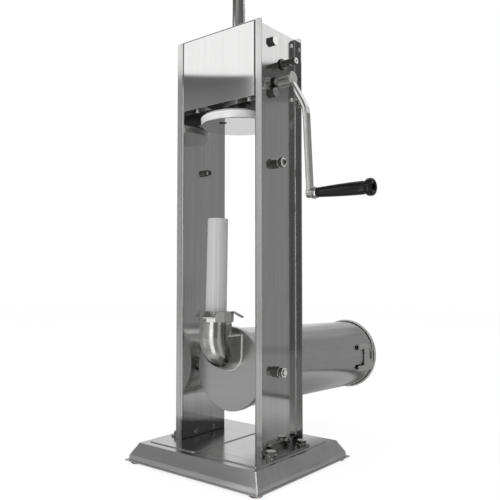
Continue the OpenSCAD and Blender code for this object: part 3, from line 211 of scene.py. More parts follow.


# Flange is 1 on the turned-out front flanges of the uprights, whose satin finish is left coarser.
# The second output is 1 low on the inner faces of their webs, where they meet the base, and carries painted
# shade there
def makeFlanges():
    tree, given, out = newGroup("flanges", [("Start", "Float", folding["start"])],
                                [("Flange", "Float"), ("Foot", "Float")])
    place, normal = splitCoordinate(tree, "Object"), splitCoordinate(tree, "Normal")
    outward = remap(tree, maths(tree, "ABSOLUTE", place["X"]), given.outputs["Start"],
                    maths(tree, "ADD", given.outputs["Start"], folding["startSoft"]))
    front = maths(tree, "MULTIPLY", remap(tree, normal["Y"], *folding["facing"]),
                  remap(tree, place["Y"], folding["middleSoft"], -folding["middleSoft"]))
    plug(tree, maths(tree, "MULTIPLY", outward, front), out.inputs["Flange"])
    inward = maths(tree, "MULTIPLY", normal["X"], place["X"])
    inner = remap(tree, inward, folding["innerSoft"], -folding["innerSoft"])
    fall = maths(tree, "MULTIPLY", place["Y"], folding["footFall"])
    top = maths(tree, "SUBTRACT", folding["footTop"], fall)
    low = remap(tree, place["Z"], top, maths(tree, "SUBTRACT", top, folding["footSoft"]), smooth=True)
    plug(tree, maths(tree, "MULTIPLY", inner, low), out.inputs["Foot"])
    return tree


brushing, handling, edges, flanges = makeBrushing(), makeHandling(), makeEdges(), makeFlanges()
print("shared effects built")


# An empty material, its node tree and its surface socket
def blankMaterial(name):
    material = bpy.data.materials.new(name)
    material.use_nodes = True
    tree = material.node_tree
    tree.nodes.clear()
    return material, tree, addNode(tree, "ShaderNodeOutputMaterial").inputs["Surface"]


def newMaterial(name):
    material, tree, surface = blankMaterial(name)
    shader = addNode(tree, "ShaderNodeBsdfPrincipled")
    plug(tree, shader.outputs[0], surface)
    return material, tree, shader


# A grey with a trace of warmth
def grey(tone, warmth=0.01):
    return (tone, tone, tone - warmth)


def tint(colour, scale, lift=0.0):
    return tuple(min(1, c * scale + lift) for c in colour)


def addBump(tree, shader, **values):
    bump = addNode(tree, "ShaderNodeBump")
    fill(tree, bump, **values)
    plug(tree, bump.outputs[0], shader.inputs["Normal"])


# How dark smears and lines turn a metal, how bright its edges are, partly as wear and partly as painted
# highlight, and how deep its lines are cut
wear = {"dark": 0.45, "band": 0.7, "smear": 0.05, "bright": 1.2, "lift": 0.05, "cut": 0.4 * mm}


# A metal with smears, bright edges that are partly wear and partly painted highlight, and brushing along the
# axis whose value in lines is small.
# flange is how much rougher the front flanges are, and across the pull of the shine on the axis along
def makeMetal(name, colour, rough, lines, contrast, spread, groove=0.0, edgeWearAndHighlight=0.25, edgeRadius=0.0007,
              flange=0.0, along="", across=0.0, metal=1.0):
    material, tree, shader = newMaterial(name)
    grain = useGroup(tree, brushing, Lines=lines)
    hands = useGroup(tree, handling)
    rim = useGroup(tree, edges, Radius=edgeRadius)
    shade = maths(tree, "MULTIPLY", grain.outputs["Line"], contrast)
    shade = maths(tree, "ADD", shade, maths(tree, "MULTIPLY", grain.outputs["Band"], contrast * wear["band"]))
    shade = maths(tree, "ADD", shade, maths(tree, "MULTIPLY", hands.outputs["Smear"], wear["smear"]))
    base = blendColours(tree, shade, colour, tint(colour, wear["dark"]))
    # Lightened edges: partly wear, partly painted highlight
    worn = maths(tree, "MULTIPLY", rim.outputs["Edge"], edgeWearAndHighlight)
    base = blendColours(tree, worn, base, tint(colour, wear["bright"], wear["lift"]))
    gloss = maths(tree, "MULTIPLY", grain.outputs["Line"], spread)
    gloss = maths(tree, "ADD", gloss, maths(tree, "MULTIPLY", hands.outputs["Smear"], spread))
    gloss = maths(tree, "ADD", gloss, rough)
    shader.inputs["Metallic"].default_value = metal
    if flange:
        folds = useGroup(tree, flanges)
        # Painted shade: the webs' inner faces darken towards the base
        foot = maths(tree, "MULTIPLY", folds.outputs["Foot"], folding["footShadeMix"])
        base = blendColours(tree, foot, base, folding["footShadeTone"])
        folded = folds.outputs["Flange"]
        gloss = maths(tree, "ADD", gloss, maths(tree, "MULTIPLY", folded, flange))
        plug(tree, remap(tree, folded, 0.0, 1.0, metal, folding["flangeMetal"]), shader.inputs["Metallic"])
    plug(tree, base, shader.inputs["Base Color"])
    plug(tree, gloss, shader.inputs["Roughness"])
    if along:
        shader.inputs["Anisotropic"].default_value = across
        plug(tree, addNode(tree, "ShaderNodeTangent", direction_type="RADIAL", axis=along).outputs[0],
             shader.inputs["Tangent"])
    addBump(tree, shader, Strength=groove, Distance=wear["cut"], Height=grain.outputs["Line"],
            Normal=rim.outputs["Normal"])
    return material


steel = grey(0.74, 0.005)
metals = {
    "uprightSteel": dict(colour=steel, rough=0.078, lines=(380, 380, 4), contrast=0.22, spread=0.012,
                         flange=0.08, along="Z", across=0.85),
    "panelSteel": dict(colour=grey(0.84, 0.005), rough=0.062, lines=(600, 600, 4), contrast=0.11,
                       spread=0.01, edgeWearAndHighlight=0.0, edgeRadius=0.0013, along="Z", across=0.9),
    "baseSteel": dict(colour=steel, rough=0.13, lines=(5, 700, 700), contrast=0.16, spread=0.05, along="X",
                      across=0.7),
    "tubeSteel": dict(colour=steel, rough=0.13, lines=(400, 4, 400), contrast=0.1, spread=0.04, along="Y",
                      across=-0.5),
    "capSteel": dict(colour=steel, rough=0.3, lines=(5, 500, 500), contrast=0.06, spread=0.04),
    "bracketSteel": dict(colour=grey(0.42, 0.005), rough=0.17, lines=(6, 500, 500), contrast=0.14,
                         groove=0.03, spread=0.05, edgeWearAndHighlight=0.8, edgeRadius=0.001),
    "polishedSteel": dict(colour=grey(0.74), rough=0.05, lines=(60, 60, 60), contrast=0.05, spread=0.04,
                          edgeRadius=0.0009, edgeWearAndHighlight=0.5),
    "armSteel": dict(colour=grey(0.82), rough=0.08, lines=(40, 40, 40), contrast=0.05, spread=0.06,
                     edgeRadius=0.001, edgeWearAndHighlight=0.7),
    "weldSteel": dict(colour=grey(0.95), rough=0.42, lines=(200, 200, 200), contrast=0.1, groove=0.1,
                      spread=0.1, edgeWearAndHighlight=0.4, metal=0.5),
    "turnedSteel": dict(colour=grey(0.86), rough=0.34, lines=(300, 300, 300), contrast=0.1, spread=0.08,
                        edgeWearAndHighlight=0.3, metal=0.55),
    "shadedSteel": dict(colour=grey(0.09, 0), rough=0.4, lines=(40, 40, 40), contrast=0.2, spread=0.1),
    "fixingSteel": dict(colour=grey(0.78, 0.02), rough=0.1, lines=(90, 90, 90), contrast=0.16, spread=0.08,
                        edgeRadius=0.0006, edgeWearAndHighlight=0.7),
    "hookSteel": dict(colour=grey(0.6), rough=0.26, lines=(300, 300, 300), contrast=0.12, spread=0.08,
                      edgeWearAndHighlight=0.6, metal=0.82),
    "rimSteel": dict(colour=grey(0.74), rough=0.26, lines=(300, 300, 300), contrast=0.1, spread=0.06,
                     metal=0.7),
    "wingSteel": dict(colour=grey(0.58), rough=0.12, lines=(300, 300, 300), contrast=0.08, spread=0.04),
    "rackSteel": dict(colour=grey(0.74), rough=0.09, lines=(500, 500, 4), contrast=0.12, spread=0.05),
    "plainSteel": dict(colour=grey(0.42), rough=0.34, lines=(40, 40, 40), contrast=0.2, groove=0.05,
                       spread=0.12),
    "gearSteel": dict(colour=grey(0.4), rough=0.3, lines=(90, 90, 90), contrast=0.25, groove=0.06,
                      spread=0.12),
    "bronze": dict(colour=(0.5, 0.34, 0.17), rough=0.3, lines=(90, 90, 90), contrast=0.2, groove=0.05,
                   spread=0.12),
    "oiledBush": dict(colour=(0.1, 0.09, 0.08), rough=0.32, lines=(90, 90, 90), contrast=0.3, groove=0.05,
                      spread=0.12),
}
finish = {name: makeMetal(name, **look) for name, look in metals.items()}
print("metals mixed:", len(finish))


# Tone of the bright edges, partly wear and partly painted highlight, and how much the rubs roughen a surface,
# on metals with two looks
faced = {"edge": grey(0.95), "rub": 0.05}


# A metal with one look on its sides and another on its ends, the faces square to an axis.
# turn gives the cosines between which one look passes into the other
# On the bolts, nuts, studs, shaft, hub and elbow the two looks are painted light and shade by facing; on the
# press plate they are a change of finish
def makeFacedMetal(name, axis, sides, ends, sideRough, endRough, sideMetal=1.0, endMetal=1.0,
                   turn=(0.75, 0.9), smearSize=60.0, smear=0.2, smearTone=0.2, edgeRadius=0.0006,
                   edgeWearAndHighlight=0.5):
    material, tree, shader = newMaterial(name)
    hands = useGroup(tree, handling, Size=smearSize)
    rim = useGroup(tree, edges, Radius=edgeRadius)
    end = remap(tree, maths(tree, "ABSOLUTE", splitCoordinate(tree, "Normal")[axis]), *turn)
    base = blendColours(tree, end, sides, ends)
    smeared = maths(tree, "MULTIPLY", hands.outputs["Smear"], smear)
    base = blendColours(tree, smeared, base, (smearTone, smearTone, smearTone))
    # Lightened edges: partly wear, partly painted highlight
    worn = maths(tree, "MULTIPLY", rim.outputs["Edge"], edgeWearAndHighlight)
    plug(tree, blendColours(tree, worn, base, faced["edge"]), shader.inputs["Base Color"])
    plug(tree, remap(tree, end, 0.0, 1.0, sideMetal, endMetal), shader.inputs["Metallic"])
    gloss = remap(tree, end, 0.0, 1.0, sideRough, endRough)
    gloss = maths(tree, "ADD", gloss, maths(tree, "MULTIPLY", hands.outputs["Rub"], faced["rub"]))
    plug(tree, gloss, shader.inputs["Roughness"])
    plug(tree, rim.outputs["Normal"], shader.inputs["Normal"])
    return material


# Flank and end tones: the dark flanks and dull ends carry painted shade, the pale ends painted light
darkSide, dullEnd, paleEnd = grey(0.34), grey(0.42), grey(0.8)
facedMetals = {
    "plateSteel": dict(axis="Z", sides=grey(0.72, 0.005), ends=grey(0.78, 0.005), sideRough=0.3,
                       endRough=0.03, sideMetal=0.25, turn=(0.6, 0.85), smearSize=14.0, smear=0.08,
                       smearTone=0.5, edgeRadius=0.0008, edgeWearAndHighlight=0.0),
    "boltSteel": dict(axis="X", sides=darkSide, ends=paleEnd, sideRough=0.12, endRough=0.3, endMetal=0.45),
    "headBoltSteel": dict(axis="X", sides=darkSide, ends=paleEnd, sideRough=0.12, endRough=0.12),
    # Lock studs: their near-black end faces are a painted dark reflection, their pale rims a painted
    # highlight
    "studDarkReflectionSteel": dict(axis="X", sides=darkSide, ends=grey(0.07, 0), sideRough=0.12, endRough=0.3,
                      endMetal=0.8, edgeRadius=0.0018, edgeWearAndHighlight=0.9),
    "footBoltSteel": dict(axis="Z", sides=grey(0.3), ends=paleEnd, sideRough=0.16, endRough=0.25,
                          endMetal=0.6),
    "hubSteel": dict(axis="X", sides=grey(0.82), ends=dullEnd, sideRough=0.24, endRough=0.34, endMetal=0.4),
    # Elbow: the flat sides of its foot, square to X, are darker as painted shade
    "elbowShadedSidesSteel": dict(axis="X", sides=grey(0.76), ends=dullEnd, sideRough=0.17, endRough=0.2),
}
finish.update({name: makeFacedMetal(name, **look) for name, look in facedMetals.items()})
print("metals with two looks mixed:", len(facedMetals))


# What all the plastics share: smears, edges lightened partly as wear and partly as painted highlight, rubs,
# coat, depth of the light and height of the pebbling
moulding = {"smearSize": 30.0, "dark": 0.6, "edgeRadius": 0.6 * mm, "edgeWearAndHighlight": 0.15, "bright": 1.3,
            "lift": 0.04, "rub": 0.12, "coatRough": 0.08, "depth": 4 * mm, "pebbleHigh": 0.3 * mm}


def makePlastic(name, colour, rough, mottle=0.06, coat=0.0, pebble=0.0, thin=0.0):
    material, tree, shader = newMaterial(name)
    hands = useGroup(tree, handling, Size=moulding["smearSize"])
    rim = useGroup(tree, edges, Radius=moulding["edgeRadius"])
    smeared = maths(tree, "MULTIPLY", hands.outputs["Smear"], mottle)
    base = blendColours(tree, smeared, colour, tint(colour, moulding["dark"]))
    # Lightened edges: partly wear, partly painted highlight
    worn = maths(tree, "MULTIPLY", rim.outputs["Edge"], moulding["edgeWearAndHighlight"])
    base = blendColours(tree, worn, base, tint(colour, moulding["bright"], moulding["lift"]))
    plug(tree, base, shader.inputs["Base Color"])
    rubbed = maths(tree, "MULTIPLY", hands.outputs["Rub"], moulding["rub"])
    plug(tree, maths(tree, "ADD", rubbed, rough), shader.inputs["Roughness"])
    shader.inputs["Coat Weight"].default_value = coat
    shader.inputs["Coat Roughness"].default_value = moulding["coatRough"]
    shader.inputs["Subsurface Weight"].default_value = thin
    shader.inputs["Subsurface Scale"].default_value = moulding["depth"]
    addBump(tree, shader, Strength=pebble, Distance=moulding["pebbleHigh"], Height=hands.outputs["Rub"],
            Normal=rim.outputs["Normal"])
    return material


plastics = {
    "gripPlastic": dict(colour=(0.004, 0.004, 0.0045), rough=0.2, mottle=0.3, coat=0.25, pebble=0.02),
    "nozzlePlastic": dict(colour=grey(0.43, 0), rough=0.28, mottle=0.03, coat=0.1),
    "ribPlastic": dict(colour=grey(0.66, 0), rough=0.3, mottle=0.02),
    "nylonWhite": dict(colour=grey(0.8, 0.02), rough=0.4, thin=0.1),
    "footRubber": dict(colour=grey(0.02, 0), rough=0.62, pebble=0.25),
    "sealSilicone": dict(colour=grey(0.7), rough=0.42, thin=0.1),
    "valvePlastic": dict(colour=grey(0.75), rough=0.35),
}
finish.update({name: makePlastic(name, **look) for name, look in plastics.items()})
print("plastics mixed")


wearing = {
    "uprightSteel": "left_upright right_upright",
    "panelSteel": "front_panel rear_panel top_cover",
    "baseSteel": "base_tray",
    "tubeSteel": "cylinder_tube",
    "capSteel": "bottom_cap",
    "bracketSteel": "foot_brackets",
    "hookSteel": "lock_brackets",
    "elbowShadedSidesSteel": "outlet_elbow",
    "wingSteel": "wing_nut",
    "plateSteel": "press_plate",
    "rimSteel": "cylinder_rim",
    "polishedSteel": "pivot_brackets elbow_collar",
    "armSteel": "crank_arm handle_ferrule",
    "hubSteel": "crank_hub",
    "rackSteel": "rack_bar",
    "boltSteel": "pivot_nuts lock_nuts pivot_studs drive_shaft",
    "headBoltSteel": "head_bolts",
    "studDarkReflectionSteel": "lock_studs",
    "footBoltSteel": "foot_bolts bracket_nuts bracket_bolts",
    "fixingSteel": "panel_screws cover_screws handle_spindle",
    "shadedSteel": "head_floor valve_body",
    "plainSteel": "foot_screws foot_nuts head_ceiling head_nuts gear_plate gear_plate_screws"
                  " rack_pin crank_shaft drive_clips crank_clip hub_screw",
    "gearSteel": "rack_pinion large_gear input_pinion drive_keys input_key",
    "bronze": "lower_rack_bush upper_rack_bush",
    "oiledBush": "drive_shaft_bushes crank_shaft_bushes",
    "gripPlastic": "handle_grip",
    "nozzlePlastic": "filling_nozzle",
    "nylonWhite": "pivot_washers",
    "footRubber": "base_feet",
    "sealSilicone": "press_seal",
    "valvePlastic": "valve_pin",
}


def dressSolids():
    for name, worn in wearing.items():
        for solid in worn.split():
            piece = nodes[solid]
            if piece.material_slots:
                for slot in piece.material_slots:
                    slot.link = "OBJECT"
                    slot.material = finish[name]
            else:
                piece.data.materials.append(finish[name])
    bare = set(nodes) - set(" ".join(wearing.values()).split())
    print("solids dressed, left bare:", sorted(bare))


dressSolids()


# Turns a bmesh into an object of the scene
def newObject(name, mesh, material=None):
    data = bpy.data.meshes.new(name)
    mesh.to_mesh(data)
    mesh.free()
    if material:
        data.materials.append(material)
    made = bpy.data.objects.new(name, data)
    bpy.context.collection.objects.link(made)
    return made


# Turns a bmesh into a finished piece that rides on a body
def newPiece(name, mesh, look, body):
    bmesh.ops.recalc_face_normals(mesh, faces=mesh.faces)
    piece = newObject(name, mesh, finish[look])
    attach(piece, body)
    return piece


# Smooth shading, but for edges sharper than an angle in degrees
def smoothen(piece, angle=80):
    for face in piece.data.polygons:
        face.use_smooth = True
    edgeMesh = bmesh.new()
    edgeMesh.from_mesh(piece.data)
    for edge in edgeMesh.edges:
        edge.smooth = not (edge.is_manifold and edge.calc_face_angle(0) > math.radians(angle))
    edgeMesh.to_mesh(piece.data)
    edgeMesh.free()


# Vertices closer than this are one
same = 0.001 * mm


def mergeTwins(mesh):
    bmesh.ops.remove_doubles(mesh, verts=mesh.verts, dist=same)


def addBlock(mesh, middle, size):
    place = Matrix.Translation(middle) @ Matrix.Diagonal((*size, 1))
    bmesh.ops.create_cube(mesh, size=1, matrix=place)


# Point at a turn about Z
def polar(radius, turn, height=0.0):
    return Vector((radius * math.cos(turn), radius * math.sin(turn), height))


# Points of a helix about the Z of place, which is a ring where the pitch is 0
def helix(place, radius, start, pitch, steps, count):
    return [place @ polar(radius, 2 * math.pi * k / steps, start + pitch * k / steps) for k in range(count)]


# Points from one place towards another, without the last
def between(first, second, steps):
    return [first.lerp(second, k / steps) for k in range(steps)]


# Radii of a hand-laid weld: a mean size with two waves along it
def beadRadii(count, mean, ripple, drift, waves):
    return [mean + ripple * math.sin(k * waves[0]) + drift * math.sin(k * waves[1]) for k in range(count)]


# Sweeps a round section along points; radii is one number or one for each point
def addTube(mesh, points, radii, sides=8, closed=False):
    count = len(points)
    radii = [radii] * count if isinstance(radii, (int, float)) else radii
    rings = []
    side = None
    for i, point in enumerate(points):
        ahead = points[(i + 1) % count] if closed or i < count - 1 else point
        behind = points[i - 1] if closed or i > 0 else point
        along = (ahead - behind).normalized()
        if side is None:
            side = along.orthogonal().normalized()
        side = (side - along * side.dot(along)).normalized()
        up = along.cross(side)
        ring = []
        for k in range(sides):
            turn = 2 * math.pi * k / sides
            ring.append(mesh.verts.new(point + (side * math.cos(turn) + up * math.sin(turn)) * radii[i]))
        rings.append(ring)
    pairs = list(zip(rings, rings[1:])) + ([(rings[-1], rings[0])] if closed else [])
    for first, second in pairs:
        shift = 0
        if closed and second is rings[0]:
            gaps = [(first[0].co - v.co).length for v in second]
            shift = gaps.index(min(gaps))
        for k in range(sides):
            n = (k + 1) % sides
            mesh.faces.new((first[k], first[n], second[(n + shift) % sides], second[(k + shift) % sides]))
    if not closed:
        mesh.faces.new(rings[0])
        mesh.faces.new(rings[-1])


# Turns a profile of (radius, height) about the Z of place; radius 0 is a single point
def addLathe(mesh, profile, place, steps=64):
    rings = []
    for radius, height in profile:
        if radius < same:
            rings.append([mesh.verts.new(place @ Vector((0, 0, height)))])
        else:
            rings.append([mesh.verts.new(point) for point in helix(place, radius, height, 0, steps, steps)])
    for first, second in zip(rings, rings[1:]):
        for k in range(steps):
            n = (k + 1) % steps
            corners = [ring[i % len(ring)] for ring, i in ((first, k), (first, n), (second, n), (second, k))]
            unique = list(dict.fromkeys(corners))
            if len(unique) > 2:
                mesh.faces.new(unique)


# Low and high corner of each separate part of a CAD node
def islands(node):
    mesh = bmesh.new()
    mesh.from_mesh(nodes[node].data)
    mergeTwins(mesh)
    left, found = set(mesh.verts), []
    while left:
        stack, part = [left.pop()], []
        while stack:
            vertex = stack.pop()
            part.append(vertex.co.copy())
            for edge in vertex.link_edges:
                other = edge.other_vert(vertex)
                if other in left:
                    left.remove(other)
                    stack.append(other)
        found.append((Vector(map(min, zip(*part))), Vector(map(max, zip(*part)))))
    mesh.free()
    return sorted(found, key=lambda box: tuple(round(c, 5) for c in box[0]))


# Turns Z to the given direction
def facing(direction):
    return Vector((0, 0, 1)).rotation_difference(Vector(direction)).to_matrix().to_4x4()


# The cylinder lies back about its pivot; Z of lying runs along the tube, from the cap to the rim
cylinder = {"pivot": 183 * mm, "tilt": -91.5, "tubeLow": -29 * mm}
tipped = Matrix.Rotation(math.radians(cylinder["tilt"]), 4, "X")
lying = Matrix.Translation((0, 0, cylinder["pivot"])) @ tipped


# The elbow's foot on the cap has flat sides and a flat top. Its weld stands off it by weldOff, and
# the two seams of the top are set in by seamIn
elbow = {"pipe": 31 * mm, "offset": 28.5 * mm, "corner": 66.5 * mm, "axis": 69.5 * mm, "out": 88 * mm,
         "topSteps": 56, "sideSteps": 34, "roundSteps": 88, "seamSteps": 36,
         "weldOff": 0.3 * mm, "seamIn": 0.2 * mm, "seamShort": 1 * mm,
         "weld": dict(mean=1.5 * mm, ripple=0.22 * mm, drift=0.1 * mm, waves=(1.57, 0.31)),
         "seam": dict(mean=0.95 * mm, ripple=0.1 * mm, drift=0, waves=(1.9, 0))}
# Z of spout runs out of the elbow's mouth and up the nozzle
spout = lying @ Matrix.Translation((0, 0, -elbow["axis"])) @ Matrix.Rotation(math.radians(90), 4, "X")


# Points round the elbow's foot in the lying frame: flat sides and top, half round below
def elbowFoot(reach):
    top = -elbow["corner"] - elbow["weldOff"]
    corners = [Vector((-reach, top)), Vector((reach, top))]
    sides = [Vector((-reach, -elbow["offset"])), Vector((reach, -elbow["offset"]))]
    path = between(corners[0], corners[1], elbow["topSteps"])
    path += between(corners[1], sides[1], elbow["sideSteps"])
    for k in range(elbow["roundSteps"]):
        path.append(polar(reach, math.pi * k / elbow["roundSteps"]).to_2d() + Vector((0, -elbow["offset"])))
    return path + between(sides[0], corners[0], elbow["sideSteps"])


# Rippled bead where the elbow's foot is welded to the cap, and the seams of its flat top
def makeElbowWeld():
    mesh = bmesh.new()
    depth = cylinder["tubeLow"] - elbow["weldOff"]
    points = [lying @ Vector((spot.x, spot.y, depth)) for spot in elbowFoot(elbow["pipe"] + elbow["weldOff"])]
    addTube(mesh, points, beadRadii(len(points), **elbow["weld"]), sides=10, closed=True)
    long = elbow["axis"] + cylinder["tubeLow"] - elbow["seamShort"]
    for side in (-1, 1):
        across, up = side * (elbow["pipe"] - elbow["seamIn"]), -elbow["corner"] + elbow["seamIn"]
        points = [lying @ Vector((across, up, -elbow["axis"] + long * k / elbow["seamSteps"]))
                  for k in range(elbow["seamSteps"] + 1)]
        addTube(mesh, points, beadRadii(len(points), **elbow["seam"]))
    smoothen(newPiece("elbow_weld", mesh, "weldSteel", "cylinder"))


makeElbowWeld()


collar = {"radius": 30 * mm, "above": 0.9 * mm, "turns": 1.45, "pitch": 2.4 * mm, "ridge": 0.55 * mm,
          "steps": 96}


# Thread that shows on the collar below the wing nut
def makeCollarThread():
    mesh = bmesh.new()
    low, count = elbow["out"] + collar["above"], int(collar["steps"] * collar["turns"])
    points = helix(spout, collar["radius"], low, collar["pitch"], collar["steps"], count)
    addTube(mesh, points, collar["ridge"], sides=6)
    smoothen(newPiece("collar_thread", mesh, "polishedSteel", "cylinder"))


makeCollarThread()
print("elbow welded")


rimShadeRing = {"radius": 78.4 * mm, "height": 416.9 * mm, "deep": 1 * mm, "steps": 144}


# Dark ring of painted shade in the crevice where the rolled rim meets the tube
def makeRimShadeRing():
    mesh = bmesh.new()
    points = helix(lying, rimShadeRing["radius"], rimShadeRing["height"], 0, rimShadeRing["steps"], rimShadeRing["steps"])
    addTube(mesh, points, rimShadeRing["deep"], closed=True)
    smoothen(newPiece("rim_shade_ring", mesh, "oiledBush", "cylinder"))


makeRimShadeRing()
print("rim rolled")


base = {"half": (165 * mm, 148.5 * mm), "lipIn": 5 * mm, "lean": 1.5 * mm, "run": 13 * mm,
        "lipTop": 7 * mm, "knee": 16 * mm, "top": 38 * mm, "weldIn": 0.55 * mm, "weldDown": 0.3 * mm,
        "weldSteps": 14, "weld": dict(mean=1.125 * mm, ripple=0.18 * mm, drift=0.12 * mm, waves=(2.1, 0.9))}


# Dressed weld down each mitred corner of the base
def makeCornerWelds():
    mesh = bmesh.new()
    kneeIn = base["lipIn"] + base["lean"]
    slope = ((base["lipIn"], base["lipTop"]), (kneeIn, base["knee"]), (kneeIn + base["run"], base["top"]))
    for sx in (-1, 1):
        for sy in (-1, 1):
            path = [Vector((sx * (base["half"][0] - inset), sy * (base["half"][1] - inset), height))
                    for inset, height in slope]
            points = [point for ends in zip(path, path[1:]) for point in between(*ends, base["weldSteps"])]
            inward, down = Vector((sx, sy, 0)).normalized() * base["weldIn"], Vector((0, 0, base["weldDown"]))
            points = [point - inward - down for point in points + [path[2]]]
            addTube(mesh, points, beadRadii(len(points), **base["weld"]))
    smoothen(newPiece("corner_welds", mesh, "weldSteel", "frame"))


makeCornerWelds()
print("base corners welded")


# The ridge starts and ends this far before the stud's tip
thread = {"radius": 5.8 * mm, "pitch": 1.5 * mm, "ridge": 0.42 * mm, "start": 2.8 * mm, "end": 1.3 * mm,
          "steps": 32}


# Helical ridge round an axis through centre, between two distances along it
def addThread(mesh, centre, direction, start, end):
    place = Matrix.Translation(centre) @ facing(direction)
    count = int(thread["steps"] * (end - start) / thread["pitch"])
    points = helix(place, thread["radius"], start, thread["pitch"], thread["steps"], count)
    addTube(mesh, points, thread["ridge"], sides=5)


def makeStudThreads():
    for node, name in (("pivot_studs", "pivot_stud_threads"), ("lock_studs", "lock_stud_threads")):
        mesh = bmesh.new()
        for low, high in islands(node):
            side = 1 if high.x > 0 else -1
            centre = Vector((0, (low.y + high.y) / 2, (low.z + high.z) / 2))
            tip = high.x if side > 0 else -low.x
            addThread(mesh, centre, (side, 0, 0), tip - thread["start"], tip - thread["end"])
        smoothen(newPiece(name, mesh, "boltSteel", "frame"))


makeStudThreads()
print("threads cut")


# slotWide is for a head of radius slotFor, slotLong a share of the radius, slotTurn in radians.
# Screws below lipUnder hold the panels' lower lips
screwHead = {"crown": 0.55 * mm, "lift": 0.25 * mm, "over": 0.12 * mm, "skirt": 0.9 * mm,
             "shoulder": 0.35 * mm, "rings": 6, "steps": 32, "slotWide": 0.9 * mm, "slotFor": 4 * mm,
             "slotDeep": 0.9 * mm, "slotOver": 1 * mm, "slotLong": 0.58, "slotTaper": (1.15, 0.6),
             "slotTurn": 0.5, "lipUnder": 705 * mm}


# Half section of a head: a straight skirt under an elliptical crown
def headProfile(radius, rise):
    skirt, shoulder, rings = screwHead["skirt"], screwHead["shoulder"], screwHead["rings"]
    profile = [(0, -skirt), (radius, -skirt), (radius, -shoulder)]
    for k in range(1, rings + 1):
        turn = math.pi / 2 * k / rings
        across = radius * math.cos(turn) if k < rings else 0
        profile.append((across, -shoulder + (rise + shoulder) * math.sin(turn)))
    return profile


# Two crossed bars, narrower at the bottom, that cut the recess of a head
def addCross(cutter, radius, rise, place):
    wide = screwHead["slotWide"] / 2 * (radius / screwHead["slotFor"])
    half = Vector((radius * screwHead["slotLong"], wide, 0))
    heights = (rise + screwHead["slotOver"], rise - screwHead["slotDeep"])
    for spin in (0, math.pi / 2):
        turn = Matrix.Rotation(spin + screwHead["slotTurn"], 4, "Z")
        corners = []
        for height, taper in zip(heights, screwHead["slotTaper"]):
            for sx, sy in ((-1, -1), (1, -1), (1, 1), (-1, 1)):
                corner = turn @ Vector((sx * half.x * taper, sy * half.y, height))
                corners.append(cutter.verts.new(place @ corner))
        for face in ((0, 1, 2, 3), (7, 6, 5, 4), (0, 4, 5, 1), (1, 5, 6, 2), (2, 6, 7, 3), (3, 7, 4, 0)):
            cutter.faces.new([corners[i] for i in face])


# Crowned heads with a cross recess, laid over the plain heads of a node's screws
def makeScrewHeads(node, name, outward):
    mesh, cutter = bmesh.new(), bmesh.new()
    rise = screwHead["crown"] + screwHead["lift"]
    for low, high in islands(node):
        way = outward(high)
        axis = max(range(3), key=lambda i: abs(way[i]))
        radius = max((high - low)[i] for i in range(3) if i != axis) / 2 + screwHead["over"]
        top = (low + high) / 2
        top[axis] = high[axis] if way[axis] > 0 else low[axis]
        place = Matrix.Translation(top) @ facing(way)
        addLathe(mesh, headProfile(radius, rise), place, screwHead["steps"])
        addCross(cutter, radius, rise, place)
    bmesh.ops.recalc_face_normals(cutter, faces=cutter.faces)
    tool = newObject("screw_tool", cutter)
    piece = newPiece(name, mesh, "turnedSteel", "frame")
    cut = piece.modifiers.new("recess", "BOOLEAN")
    cut.object = tool
    cut.operation = "DIFFERENCE"
    cut.use_self = True
    shaped = bpy.data.meshes.new_from_object(piece.evaluated_get(bpy.context.evaluated_depsgraph_get()))
    piece.modifiers.clear()
    piece.data = shaped
    bpy.data.objects.remove(tool)
    smoothen(piece, 40)


# Side screws point out through the webs, lip screws point down
def outOfPanel(high):
    if high.z < screwHead["lipUnder"]:
        return Vector((0, 0, -1))
    return Vector((1 if high.x > 0 else -1, 0, 0))


makeScrewHeads("panel_screws", "panel_screw_heads", outOfPanel)
print("screw heads cut")


seam = {"half": 91 * mm, "down": 0.9 * mm, "proud": 0.12 * mm, "high": 1 * mm}


# Dark strip of painted shade along the joint between the cover and the front and rear panels
def makeCoverShadeStrips():
    mesh = bmesh.new()
    for node, way in (("front_panel", -1), ("rear_panel", 1)):
        low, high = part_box(node)
        face = (low.y if way < 0 else high.y) + way * seam["proud"]
        middle = Vector((0, face - way * seam["down"] / 2, high.z - seam["down"] - seam["high"] / 2))
        addBlock(mesh, middle, (2 * seam["half"], seam["down"], seam["high"]))
    newPiece("cover_shade_strips", mesh, "oiledBush", "frame")


makeCoverShadeStrips()
print("cover seams drawn")


footShadeStrip = {"face": 92 * mm, "half": 62 * mm, "low": 39.5 * mm, "deep": 0.8 * mm, "high": 1.5 * mm}


# Dark strip of painted shade in the corner where the web of each upright meets the base
def makeFootShadeStrips():
    mesh = bmesh.new()
    across, height = footShadeStrip["face"] - footShadeStrip["deep"] / 2, footShadeStrip["low"] + footShadeStrip["high"] / 2
    for side in (-1, 1):
        size = (footShadeStrip["deep"], 2 * footShadeStrip["half"], footShadeStrip["high"])
        addBlock(mesh, Vector((side * across, 0, height)), size)
    newPiece("foot_shade_strips", mesh, "oiledBush", "frame")


makeFootShadeStrips()
print("foot seams drawn")


sleeve = {"radius": 10 * mm, "long": 6.5 * mm, "bevel": 1 * mm, "lip": 0.6 * mm}
# neckLine is (past the neck, radius) and recess is (radius, depth), both in millimetres
grip = {"slim": 9 * mm, "swell": 12 * mm, "swellSteps": 14, "swellPower": 1.7, "bevel": 0.8 * mm,
        "knob": 15.5 * mm, "knobLong": 13 * mm, "knobRound": 5 * mm, "bore": 4.1 * mm, "cap": 5 * mm,
        "neckLine": ((-8, 11.85), (-4, 11.5), (-1.2, 10.8), (0, 11.1), (1.2, 13.9), (2.6, 15.2)),
        "recess": ((9.3, 0), (8.5, 0.6), (6, 1.2)), "steps": 72}


